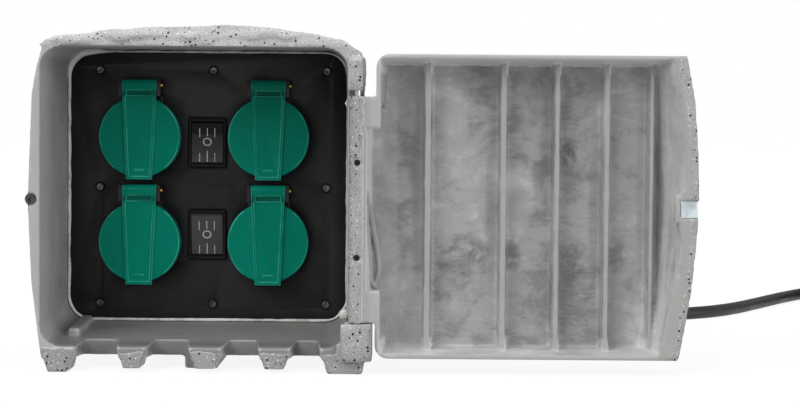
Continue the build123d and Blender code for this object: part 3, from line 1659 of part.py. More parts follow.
def plug_body():
    """The rubber plug: tapered sleeve, waist and round body with side grooves."""
    sleeve = PLUG_SLEEVE_LENGTH
    total = sleeve + PLUG_BODY_LENGTH
    profile = [
        (0, 0),
        (PLUG_SLEEVE_RADIUS, 0),
        (PLUG_SLEEVE_RADIUS + PLUG_SLEEVE_FLARE, sleeve - PLUG_SLEEVE_CROWN),
        (PLUG_WAIST_RADIUS, sleeve),
        (PLUG_RADIUS, sleeve + PLUG_SHOULDER),
        (PLUG_RADIUS, total - PLUG_EDGE),
        (PLUG_FACE_RADIUS, total),
        (0, total),
    ]
    wire = Wire.make_polygon([Vector(x, 0, z) for x, z in profile], close=True)
    body = revolve(Face(wire), axis=Axis.Z)
    for side in (-1, 1):
        depth = PLUG_FACE_RADIUS - PLUG_NOTCH_DEPTH
        x0 = depth if side > 0 else -PLUG_RADIUS - 1
        x1 = PLUG_RADIUS + 1 if side > 0 else -depth
        half = PLUG_NOTCH_WIDTH / 2
        body = body - block(x0, x1, -half, half, total - PLUG_NOTCH_LENGTH, total + 1)
        body = body - rod_z(
            PLUG_PIN_RADIUS,
            total - PLUG_PIN_ROOT,
            total + 1,
            0,
            side * CONTACT_SPACING / 2,
        )
    body = body - rod_z(
        PLUG_EARTH_HOLE_RADIUS, total - PLUG_PIN_ROOT, total + 1, PLUG_EARTH_HOLE_OFFSET, 0
    )
    return plug_frame() * first_solid(body)


def plug_pins():
    """The plug's two round pins."""
    total = PLUG_SLEEVE_LENGTH + PLUG_BODY_LENGTH
    pins = []
    for side in (-1, 1):
        pin = rod_z(
            PLUG_PIN_RADIUS,
            total - PLUG_PIN_ROOT,
            total + PLUG_PIN_LENGTH,
            0,
            side * CONTACT_SPACING / 2,
        )
        tip = pin.edges().filter_by(GeomType.CIRCLE).sort_by(Axis.Z)[-1]
        pins.append(plug_frame() * first_solid(fillet(tip, PLUG_PIN_TIP)))
    return pins


def plug_earth_strips():
    """The two earth contacts in the plug's side grooves."""
    total = PLUG_SLEEVE_LENGTH + PLUG_BODY_LENGTH
    strips = []
    depth = PLUG_FACE_RADIUS - PLUG_NOTCH_DEPTH
    half = PLUG_NOTCH_WIDTH / 2 - PLUG_STRIP_GAP
    for side in (-1, 1):
        x0 = min(side * depth, side * (depth + PLUG_STRIP_THICKNESS))
        x1 = max(side * depth, side * (depth + PLUG_STRIP_THICKNESS))
        z0 = total - PLUG_NOTCH_LENGTH
        strips.append(plug_frame() * block(x0, x1, -half, half, z0, total - PLUG_STRIP_GAP))
    return strips


# Write one file for each node


def write(name, shape):
    """Saves one node; a list becomes a group of separate solids."""
    if isinstance(shape, (list, tuple)):
        solids = [first_solid(s) for s in shape]
        export_step(Compound(children=solids), f"parts/{name}.step")
    else:
        export_step(first_solid(shape), f"parts/{name}.step")


def main():
    """Builds every piece of the socket block."""
    os.makedirs("parts", exist_ok=True)
    write("housing_front", housing_front())
    write("housing_rear", housing_rear())
    write("rear_gasket", rear_gasket())
    write("cover_screws", cover_screws())
    write("socket_panel", socket_panel())
    write("panel_seal", panel_seal())
    write("panel_screws", panel_screws())
    for name, (x, z) in SOCKET_SPOTS.items():
        write("socket_" + name, socket_insert(x, z))
        write("lid_" + name, lid(x, z))
        write("lid_seal_" + name, lid_seal(x, z))
    write("socket_ring_nuts", ring_nuts())
    write("socket_contacts", contacts())
    write("earth_clips", earth_clips())
    write("lid_hinge_pins", lid_pins())
    write("lid_springs", lid_springs())
    tilts = {"lower": ROCKER_TILT, "upper": 0.0}
    for name, z in SWITCH_HEIGHTS.items():
        write("switch_body_" + name, switch_body(z))
        write("rocker_" + name, rocker(z, tilts[name]))
    blades = [blade for z in SWITCH_HEIGHTS.values() for blade in terminal_blades(z)]
    write("switch_terminals", blades)
    write("door_shell", door_shell())
    write("door_magnet", door_magnet())
    write("door_hinge_pin", hinge_pin())
    write("catch_screw", catch_screw())
    write("cable_bush", cable_bush())
    write("cable_inner", cable_inner())
    write("cord_clamp", cord_clamp())
    write("terminal_block", terminal_block())
    half = CONTACT_SPACING / 2
    contact_y = contact_rear()
    offsets = (-half, half, 0.0)
    targets = (contact_y, contact_y, earth_bridge_y())
    names = ("live_wires", "neutral_wires", "earth_wires")
    for name, layer, level, start, offset, target in zip(
        names, WIRE_LAYERS, WIRE_LEVELS, WIRE_STARTS, offsets, targets
    ):
        write(name, circuit(layer, level, start, offset, target))
    write("switch_wires", switch_wires())
    write("cable_cores", cable_cores())
    stretch, coil, tail = supply_lead()
    write("cable_free_stretch", stretch)
    write("cable_coil", coil)
    write("cable_tail", tail)
    write("coil_tie", coil_tie())
    write("plug_body", plug_body())
    write("plug_pins", plug_pins())
    write("plug_earth_strips", plug_earth_strips())


main()
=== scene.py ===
"""Looks of an outdoor socket block in a stone-look housing, dressed over its CAD frame.

Everything is in metres in the CAD's frame: X to the right, the open front faces -Y, +Z is up.
"""

from __future__ import annotations

import json
import logging
import math
from collections.abc import Iterator, Sequence
from contextlib import contextmanager
from dataclasses import dataclass, field
from enum import Enum

import bpy
from mathutils import Matrix, Vector, noise

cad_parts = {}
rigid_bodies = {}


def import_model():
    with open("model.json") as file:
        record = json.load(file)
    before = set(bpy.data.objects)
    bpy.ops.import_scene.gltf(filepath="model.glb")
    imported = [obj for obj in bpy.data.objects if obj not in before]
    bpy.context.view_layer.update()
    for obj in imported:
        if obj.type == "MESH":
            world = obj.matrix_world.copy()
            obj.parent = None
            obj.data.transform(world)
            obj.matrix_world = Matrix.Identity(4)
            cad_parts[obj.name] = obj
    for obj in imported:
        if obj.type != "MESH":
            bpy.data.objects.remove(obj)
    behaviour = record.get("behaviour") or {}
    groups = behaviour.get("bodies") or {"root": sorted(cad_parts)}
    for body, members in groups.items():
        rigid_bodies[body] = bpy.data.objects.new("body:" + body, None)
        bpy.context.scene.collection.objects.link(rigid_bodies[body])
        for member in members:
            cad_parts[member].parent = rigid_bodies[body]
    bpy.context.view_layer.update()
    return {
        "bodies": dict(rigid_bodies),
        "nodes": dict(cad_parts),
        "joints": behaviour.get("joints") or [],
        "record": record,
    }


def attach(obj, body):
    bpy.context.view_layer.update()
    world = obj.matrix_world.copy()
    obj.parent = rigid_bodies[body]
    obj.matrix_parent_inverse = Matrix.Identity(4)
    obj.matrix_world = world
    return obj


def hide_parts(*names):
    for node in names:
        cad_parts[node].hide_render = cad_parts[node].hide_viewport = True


LOG = logging.getLogger("socket_block")
MM = 0.001
FRONT = -66.0 * MM
PANEL_FACE = 9.0 * MM
# The door's hinge line in X and Y, its reach from there, and how its free side bows
HINGE = (0.0957, -0.0663)
DOOR_REACH = 0.2016
BOW_MIDDLE = 0.104
BOW_GROWTH = 11.1
BOW_DEPTH = 0.0106
FREE_SIDE_SLOPE = 0.36
Colour = tuple[float, float, float]
Point = tuple[float, float, float]
Socket = bpy.types.NodeSocket
Piece = bpy.types.Object
Inputs = dict[str | int, object]
Outline = Sequence[tuple[float, float]]
Patches = tuple[tuple[float, ...], ...]


class Body(Enum):
    """The CAD bodies that pieces ride on."""

    ROOT = "root"
    DOOR = "door"
    ROCKER_LOWER = "rocker_lower_body"
    ROCKER_UPPER = "rocker_upper_body"
    LID_LEFT_LOWER = "lid_left_lower_body"
    LID_RIGHT_LOWER = "lid_right_lower_body"
    LID_LEFT_UPPER = "lid_left_upper_body"
    LID_RIGHT_UPPER = "lid_right_upper_body"


class Edge(Enum):
    """How far an edge is rounded, in metres."""

    CRISP = 0.00015
    MOULDED = 0.0003
    SOFT = 0.0005


def paint(red: int, green: int, blue: int) -> Colour:
    """A linear colour from one written in 8-bit screen values.

    Args:
        red: 0 to 255.
        green: 0 to 255.
        blue: 0 to 255.

    Returns:
        The linear colour.
    """

    def linear(value: int) -> float:
        """One channel."""
        share = value / 255
        return share / 12.92 if share <= 0.04045 else ((share + 0.055) / 1.055) ** 2.4

    return (linear(red), linear(green), linear(blue))


def ramp(value: float, low: float, high: float) -> float:
    """A smooth share from 0 at low to 1 at high."""
    share = min(max((value - low) / (high - low), 0.0), 1.0)
    return share * share * (3.0 - 2.0 * share)


def shown(name: str, data: bpy.types.ID) -> Piece:
    """A new object of the scene that shows some data."""
    piece = bpy.data.objects.new(name, data)
    bpy.context.scene.collection.objects.link(piece)
    return piece


# Node sheets: one per material


def add_node(
    tree: bpy.types.NodeTree, kind: str, inputs: Inputs, **settings: object
) -> bpy.types.Node:
    """Adds a node to a tree.

    Args:
        tree: The node tree.
        kind: The node's type, without its prefix.
        inputs: What each input gets: a socket, a number, a colour or a vector.
        settings: The node's own settings.

    Returns:
        The node.
    """
    node = tree.nodes.new(f"ShaderNode{kind}")
    for key, value in settings.items():
        setattr(node, key, value)
    for key, value in inputs.items():
        socket = node.inputs[key]
        if isinstance(value, bpy.types.NodeSocket):
            tree.links.new(value, socket)
        elif isinstance(value, tuple) and socket.type == "RGBA":
            socket.default_value = (*value, 1.0)
        else:
            socket.default_value = value
    return node


class Sheet:
    """A material's node tree, with short calls that add nodes from left to right."""

    def __init__(self, name: str) -> None:
        """Starts an empty tree.

        Args:
            name: The material's name.
        """
        self.material = bpy.data.materials.new(name)
        self.material.use_nodes = True
        self.tree = self.material.node_tree
        self.tree.nodes.clear()

    def add(self, kind: str, inputs: Inputs, **settings: object) -> bpy.types.Node:
        """Adds a node to the sheet, as add_node does."""
        return add_node(self.tree, kind, inputs, **settings)

    def place(self, scale: Point = (1, 1, 1), offset: Point = (0, 0, 0)) -> Socket:
        """Object coordinates through a Mapping node.

        Args:
            scale: Stretch of the pattern along each axis.
            offset: Shift of the pattern.

        Returns:
            The vector socket.
        """
        coord = self.add("TexCoord", {}).outputs["Object"]
        mapping = self.add("Mapping", {"Vector": coord, "Scale": scale, "Location": offset})
        return mapping.outputs["Vector"]

    def turned(self, vector: Socket, degrees: float, long: float) -> Socket:
        """A pattern turned in the XZ plane and drawn out.

        Args:
            vector: Where the pattern lies.
            degrees: Its slope from X.
            long: How many times longer than wide it gets.

        Returns:
            The vector socket.
        """
        spin = (0.0, math.radians(degrees), 0.0)
        mapping = self.add(
            "Mapping", {"Vector": vector, "Rotation": spin, "Scale": (1.0, 1.0, long)}
        )
        return mapping.outputs["Vector"]

    def stirred(
        self, vector: Socket, amount: float, source: Socket, scale: float, detail: float
    ) -> Socket:
        """A vector pushed about by noise, so that its pattern flows.

        Args:
            vector: The vector.
            amount: How far it is pushed, in metres.
            source: Where the noise lies.
            scale: Features per metre of the noise.
            detail: Octaves.

        Returns:
            The vector socket.
        """
        push = self.add("TexNoise", {"Vector": source, "Scale": scale, "Detail": detail})
        terms = {0: push.outputs["Color"], 1: (amount, amount, amount), 2: vector}
        return self.add("VectorMath", terms, operation="MULTIPLY_ADD").outputs[0]

    def axes(self) -> tuple[Socket, Socket, Socket]:
        """The object coordinates apart: X, Y and Z."""
        return tuple(self.add("SeparateXYZ", {0: self.place()}).outputs)

    def facing(self) -> tuple[Socket, Socket, Socket]:
        """The surface normal in object space apart: X, Y and Z."""
        normal = self.add("TexCoord", {}).outputs["Normal"]
        return tuple(self.add("SeparateXYZ", {0: normal}).outputs)

    def noise(
        self,
        scale: float,
        vector: Socket | None = None,
        detail: float = 4.0,
        rough: float = 0.55,
        distort: float = 0.0,
    ) -> Socket:
        """Cloudy noise.

        Args:
            scale: Features per metre, roughly.
            vector: Where the pattern lies; object coordinates if left out.
            detail: Octaves.
            rough: Weight of the small octaves.
            distort: How much the pattern swirls.

        Returns:
            The value socket.
        """
        inputs = {
            "Vector": vector or self.place(),
            "Scale": scale,
            "Detail": detail,
            "Roughness": rough,
            "Distortion": distort,
        }
        return self.add("TexNoise", inputs).outputs["Fac"]

    def cells(self, scale: float, vector: Socket | None = None) -> tuple[Socket, Socket]:
        """Voronoi cells.

        Args:
            scale: Cells per metre.
            vector: Where the pattern lies.

        Returns:
            The distance socket and the cell colour socket.
        """
        node = self.add("TexVoronoi", {"Vector": vector or self.place(), "Scale": scale})
        return node.outputs["Distance"], node.outputs["Color"]

    def maths(self, way: str, first: object, *others: object) -> Socket:
        """Math nodes in a row, each taking in one more value.

        Args:
            way: The operation.
            first: Socket or number.
            others: The further values, or none where the operation takes only one.

        Returns:
            The value socket.
        """
        if not others:
            return self.add("Math", {0: first}, operation=way).outputs[0]
        for other in others:
            first = self.add("Math", {0: first, 1: other}, operation=way).outputs[0]
        return first

    def most(self, *values: object) -> Socket:
        """The greatest of some values."""
        return self.maths("MAXIMUM", *values) if len(values) > 1 else values[0]

    def all_of(self, *values: object) -> Socket:
        """The product of some shares."""
        return self.maths("MULTIPLY", *values)

    def plus(self, *values: object) -> Socket:
        """The sum of some values."""
        return self.maths("ADD", *values)

    def minus(self, *values: object) -> Socket:
        """The first value less the others."""
        return self.maths("SUBTRACT", *values)

    def size_of(self, value: Socket) -> Socket:
        """A value without its sign."""
        return self.maths("ABSOLUTE", value)

    def span(
        self, value: object, low: float, high: float, to_low: float = 0.0, to_high: float = 1.0
    ) -> Socket:
        """Maps a range smoothly onto another and holds it there.

        Args:
            value: Socket to map.
            low: Start of the range.
            high: End of the range.
            to_low: Result at the start.
            to_high: Result at the end.

        Returns:
            The value socket.
        """
        inputs = {
            "Value": value,
            "From Min": low,
            "From Max": high,
            "To Min": to_low,
            "To Max": to_high,
        }
        node = self.add("MapRange", inputs, interpolation_type="SMOOTHSTEP")
        return node.outputs["Result"]

    def mix(self, share: object, first: object, second: object) -> Socket:
        """Mixes two colours.

        Args:
            share: Socket or number, how much of the second.
            first: Colour or socket.
            second: Colour or socket.

        Returns:
            The colour socket.
        """
        return self.add("Mix", {0: share, 6: first, 7: second}, data_type="RGBA").outputs[2]

    def layers(self, base: object, *layers: tuple[object, object]) -> Socket:
        """Lays colours over one another.

        Args:
            base: The lowest colour.
            layers: The share and the colour of each, from below.

        Returns:
            The colour socket.
        """
        for share, colour in layers:
            base = self.mix(share, base, colour)
        return base

    def clouds(self, *patches: tuple[float, ...]) -> Socket:
        """Soft patches about places on the front.

        Args:
            patches: Middle X and Z, strength, half width and half height of each; all but the
                strength in millimetres.

        Returns:
            The share, greatest in the middle of each.
        """
        x, _, z = self.axes()
        shares = []
        for middle_x, middle_z, strength, wide, tall in patches:
            across = self.maths("DIVIDE", self.minus(x, middle_x * MM), wide * MM)
            up = self.maths("DIVIDE", self.minus(z, middle_z * MM), tall * MM)
            away = self.plus(self.all_of(across, across), self.all_of(up, up))
            shares.append(self.span(away, 1.0, 0.1, 0.0, strength))
        return self.most(*shares)

    def rims(self, radius: float) -> Socket:
        """Where a face comes near a sharp edge, 0 to 1.

        Args:
            radius: How wide the band along the edge is, in metres.

        Returns:
            The share.
        """
        soft = self.add("Bevel", {"Radius": radius}, samples=6).outputs["Normal"]
        plain = self.add("NewGeometry", {}).outputs["Normal"]
        dot = self.add("VectorMath", {0: soft, 1: plain}, operation="DOT_PRODUCT")
        return self.span(dot.outputs["Value"], 0.995, 0.93)

    def ridges(self) -> Socket:
        """Where a dense mesh has its sharp outer edges, 0 to 1."""
        return self.span(self.add("NewGeometry", {}).outputs["Pointiness"], 0.53, 0.6)

    def bump(self, height: object, depth: float, below: Socket | None = None) -> Socket:
        """A bump from a height.

        Args:
            height: Height socket, 0 to 1.
            depth: Depth of the relief in metres.
            below: Normal to build on.

        Returns:
            The normal socket.
        """
        inputs: Inputs = {"Strength": 1.0, "Distance": depth, "Height": height}
        if below is not None:
            inputs["Normal"] = below
        return self.add("Bump", inputs).outputs["Normal"]

    def close(self, shader: bpy.types.Node) -> bpy.types.Material:
        """Ends the sheet with its last shader and gives the finished material."""
        self.add("OutputMaterial", {"Surface": shader.outputs[0]})
        return self.material

    def shade(
        self,
        colour: object,
        rough: object,
        normal: Socket,
        metal: float = 0.0,
        specular: float = 0.5,
        clear: float = 0.0,
    ) -> bpy.types.Material:
        """Ends the sheet with a Principled shader.

        Args:
            colour: Base colour or socket.
            rough: Roughness or socket.
            normal: Normal socket.
            metal: Metallic share.
            specular: Specular level.
            clear: Transmission weight.

        Returns:
            The finished material.
        """
        inputs = {
            "Base Color": colour,
            "Roughness": rough,
            "Metallic": metal,
            "Specular IOR Level": specular,
            "Transmission Weight": clear,
            "Normal": normal,
        }
        return self.close(self.add("BsdfPrincipled", inputs))


# Finishes


@dataclass(frozen=True)
class Fleck:
    """One size and colour of paint flecks in the stone-look coat."""

    spread: float
    radius: float
    share: float
    colour: Colour
    shift: float

    def over(self, sheet: Sheet, base: object) -> Socket:
        """Lays the flecks over a colour.

        Args:
            sheet: The material's sheet.
            base: Colour below.

        Returns:
            The colour socket.
        """
        place = sheet.place(offset=(self.shift, self.shift * 0.7, self.shift * 0.3))
        stirred = sheet.stirred(place, 0.0012, place, 900.0, 2.0)
        distance, colour = sheet.cells(1.0 / self.spread, stirred)
        pick, grade, _ = sheet.add("SeparateColor", {0: colour}).outputs
        size = sheet.span(grade, 0.0, 1.0, 0.45, 1.0)
        inside = sheet.minus(sheet.all_of(size, self.radius / self.spread), distance)
        fleck = sheet.span(inside, 0.0, 0.05)
        chosen = sheet.maths("GREATER_THAN", self.share, pick)
        return sheet.mix(sheet.all_of(fleck, chosen), base, self.colour)


@dataclass(frozen=True)
class Coat:
    """The speckled stone-look coat sprayed on the outside."""

    low: Colour = paint(156, 156, 156)
    high: Colour = paint(182, 182, 181)
    pale: Colour = paint(212, 212, 212)
    deep: Colour = paint(122, 122, 122)
    # Painted light on the rock's top
    painted_top_light: Colour = paint(226, 226, 225)
    # Painted shade towards the rock's foot
    painted_low_shade: Colour = paint(134, 134, 133)
    edge: Colour = paint(216, 216, 214)
    flecks: tuple[Fleck, ...] = (
        Fleck(0.0026, 0.0006, 0.6, paint(128, 128, 128), 1.93),
        Fleck(0.0017, 0.00045, 0.85, paint(232, 232, 232), 1.31),
        Fleck(0.0026, 0.00066, 0.72, paint(252, 252, 252), 0.77),
        Fleck(0.0018, 0.00042, 0.55, paint(62, 62, 63), 0.31),
        Fleck(0.0027, 0.00078, 0.6, paint(14, 14, 15), 0.0),
    )

    def colour(self, sheet: Sheet) -> Socket:
        """The coat's colour.

        Args:
            sheet: The material's sheet.

        Returns:
            The colour socket.
        """
        cloud = sheet.noise(30.0, detail=5.0)
        grain = sheet.noise(1500.0, detail=3.0, rough=0.7)
        z = sheet.axes()[2]
        result = sheet.layers(
            self.low,
            (sheet.span(cloud, 0.3, 0.7), self.high),
            # Painted light along the rock's top
            (sheet.span(z, 0.188, 0.196, 0.0, 0.72), self.painted_top_light),
            # Painted shade towards the rock's foot
            (sheet.span(z, 0.022, 0.008, 0.0, 0.45), self.painted_low_shade),
            (sheet.span(grain, 0.44, 0.66, 0.0, 0.55), self.pale),
            (sheet.span(grain, 0.5, 0.34, 0.0, 0.45), self.deep),
        )
        for fleck in self.flecks:
            result = fleck.over(sheet, result)
        return result

    def over(
        self, sheet: Sheet, share: Socket, plain: Socket, seam: float, ground: Socket
    ) -> bpy.types.Material:
        """Lays the coat over the bare moulding and ends the sheet.

        Args:
            sheet: The material's sheet.
            share: How much of the coat lies at each point.
            plain: The bare moulding's colour.
            seam: How strongly the coat's edge is paler.
            ground: The bare moulding's normal.

        Returns:
            The material.
        """
        edge = sheet.all_of(share, sheet.minus(1.0, share), seam)
        colour = sheet.layers(plain, (share, self.colour(sheet)), (edge, self.edge))
        grit = sheet.noise(520.0, detail=6.0, rough=0.68)
        normal = sheet.bump(sheet.all_of(grit, share), 0.0007, ground)
        rough = sheet.span(share, 0.0, 1.0, 0.42, 0.72)
        return sheet.shade(colour, rough, normal, specular=0.35)


@dataclass(frozen=True)
class Bare:
    """The bare moulding inside, with smoky clouds and brushed hairs of the stirred filler."""

    dark: Colour = paint(140, 140, 141)
    middle: Colour = paint(174, 174, 174)
    light: Colour = paint(204, 204, 205)
    wisp: Colour = paint(214, 215, 216)
    skin: Colour = paint(172, 172, 169)
    stretch: Point = (1.0, 1.0, 0.7)
    wisps: float = 0.55
    reach: float = 0.1

    def bent(self, sheet: Sheet, scale: float, amount: float, shift: float) -> Socket:
        """Object coordinates pushed about by broad noise, so that patterns flow.

        Args:
            sheet: The material's sheet.
            scale: Features per metre of the push.
            amount: How far it pushes, in metres.
            shift: Where its pattern starts.

        Returns:
            The vector socket.
        """
        source = sheet.place(offset=(shift, 0.0, shift))
        return sheet.stirred(sheet.place(self.stretch), amount, source, scale, 3.0)

    def hairs(self, sheet: Sheet, turn: float, long: float, shift: float) -> Socket:
        """Fine brushed hairs along one way, bent a little.

        Args:
            sheet: The material's sheet.
            turn: Their slope in the XZ plane, in degrees from X.
            long: How many times longer than wide they are.
            shift: Where their pattern starts.

        Returns:
            The share of the hairs.
        """
        combed = sheet.turned(self.bent(sheet, 14.0, 0.045, shift), turn, long)
        strand = sheet.noise(95.0, combed, detail=5.0, rough=0.62)
        patch = sheet.noise(34.0, sheet.place(offset=(shift, 0.3, 0.1)), detail=4.0)
        return sheet.all_of(sheet.span(strand, 0.5, 0.8), sheet.span(patch, 0.42, 0.62))

    def colour(self, sheet: Sheet) -> Socket:
        """The swirled colour.

        Args:
            sheet: The material's sheet.

        Returns:
            The colour socket.
        """
        smoke = sheet.noise(22.0, self.bent(sheet, 14.0, 0.035, 0.2), detail=5.0)
        current = self.bent(sheet, 30.0, 0.018, 0.6)
        flow = sheet.noise(70.0, current, detail=6.0, rough=0.66, distort=0.25)
        combed = sheet.turned(self.bent(sheet, 16.0, 0.03, 1.2), 24.0, 3.2)
        smear = sheet.noise(46.0, combed, detail=7.0, rough=0.68)
        body = sheet.plus(
            sheet.all_of(smoke, 0.46), sheet.all_of(flow, 0.22), sheet.all_of(smear, 0.32)
        )
        result = sheet.mix(sheet.span(body, 0.5 - self.reach, 0.5), self.dark, self.middle)
        result = sheet.mix(sheet.span(body, 0.5, 0.5 + self.reach), result, self.light)
        level = self.hairs(sheet, 20.0, 11.0, 0.4)
        steep = self.hairs(sheet, -34.0, 11.0, 0.9)
        share = sheet.all_of(sheet.most(level, steep), self.wisps)
        return sheet.mix(share, result, self.wisp)


class HousingFinish:
    """Coat outside and bare moulding in the recess of the housing."""

    def coated(self, sheet: Sheet) -> Socket:
        """How much of the coat lies at each point.

        Args:
            sheet: The material's sheet.

        Returns:
            The share, 1 outside and 0 in the recess.
        """
        x, y, z = sheet.axes()
        ragged = sheet.noise(160.0, detail=3.0)
        wander = sheet.span(ragged, 0.2, 0.8, -0.0012, 0.0012)
        outward = sheet.all_of(sheet.facing()[0], sheet.maths("SIGN", x))
        side = sheet.all_of(
            sheet.span(sheet.size_of(x), 0.0800, 0.0830), sheet.span(outward, 0.1, 0.3)
        )
        top = sheet.span(z, 0.1943, 0.1955)
        corner = sheet.span(x, -0.0655, -0.0670)
        up = sheet.plus(z, wander)
        out = sheet.plus(x, wander)
        low = sheet.most(
            sheet.all_of(sheet.span(up, 0.0148, 0.0136), corner), sheet.span(up, 0.0120, 0.0112)
        )
        foot = sheet.all_of(
            sheet.span(sheet.size_of(sheet.minus(x, 0.0058)), 0.0888, 0.0902),
            sheet.span(z, 0.0168, 0.0158),
        )
        deep = sheet.span(y, 0.0135, 0.0145)
        around = sheet.most(side, top, foot, deep)
        front = sheet.all_of(
            sheet.span(sheet.facing()[1], -0.45, -0.8), sheet.span(y, -0.0595, -0.0615)
        )
        post = sheet.minus(
            sheet.span(z, 0.036, 0.033, 0.0, 0.0026), sheet.span(z, 0.030, 0.0205, 0.0, 0.0085)
        )
        right = sheet.span(sheet.minus(out, post), 0.0898, 0.0908)
        band = sheet.span(up, 0.1906, 0.1922)
        left = sheet.span(out, -0.0962, -0.0976)
        rim = sheet.most(right, band, low, left)
        return sheet.plus(
            sheet.all_of(front, rim), sheet.all_of(sheet.minus(1.0, front), around)
        )

    def make(self) -> bpy.types.Material:
        """Builds the material.

        Returns:
            The material.
        """
        sheet = Sheet("stone_look_housing")
        bare = Bare(
            dark=paint(142, 142, 143),
            middle=paint(162, 162, 162),
            light=paint(174, 174, 174),
            wisp=paint(190, 190, 190),
            skin=paint(180, 181, 179),
            stretch=(1.0, 1.0, 0.5),
            wisps=0.3,
        )
        x, y, z = sheet.axes()
        sideways, _, upward = sheet.facing()
        rim = sheet.span(y, FRONT + 0.0016, FRONT + 0.0008)
        # Painted light on the recess's left wall, which faces +X
        wall = sheet.all_of(
            sheet.span(sideways, 0.4, 0.8, 0.0, 0.4), sheet.span(y, -0.028, -0.058)
        )
        # Painted shade in the cable notches
        painted_notch_shade = sheet.all_of(
            sheet.span(z, 0.0172, 0.0160), sheet.span(y, FRONT + 0.003, FRONT + 0.008), 0.7
        )
        # Painted shade on the bare strip along the low front, so it reads as a sloping face
        painted_tongue_shade = sheet.all_of(
            rim,
            sheet.span(z, 0.0178, 0.0166),
            sheet.span(x, -0.0670, -0.0655),
            sheet.span(x, 0.0850, 0.0840),
            0.9,
        )
        plain = sheet.layers(
            bare.colour(sheet),
            # Painted shade on upward faces: the recess floor under the rock's top
            (sheet.span(upward, 0.4, 0.8, 0.0, 0.75), paint(122, 121, 120)),
            # Painted light on downward faces: the underside of the recess's top wall
            (sheet.span(upward, -0.4, -0.8, 0.0, 0.65), paint(222, 222, 221)),
            # Painted light on the recess's left wall
            (wall, paint(216, 216, 215)),
            (painted_notch_shade, paint(104, 104, 104)),
            (rim, bare.skin),
            (painted_tongue_shade, paint(132, 132, 131)),
            # Painted highlight along sharp outer edges
            (sheet.all_of(sheet.ridges(), 0.7), paint(214, 214, 213)),
        )
        ground = sheet.bump(sheet.noise(80.0), 0.0006)
        return Coat().over(sheet, self.coated(sheet), plain, 2.4, ground)


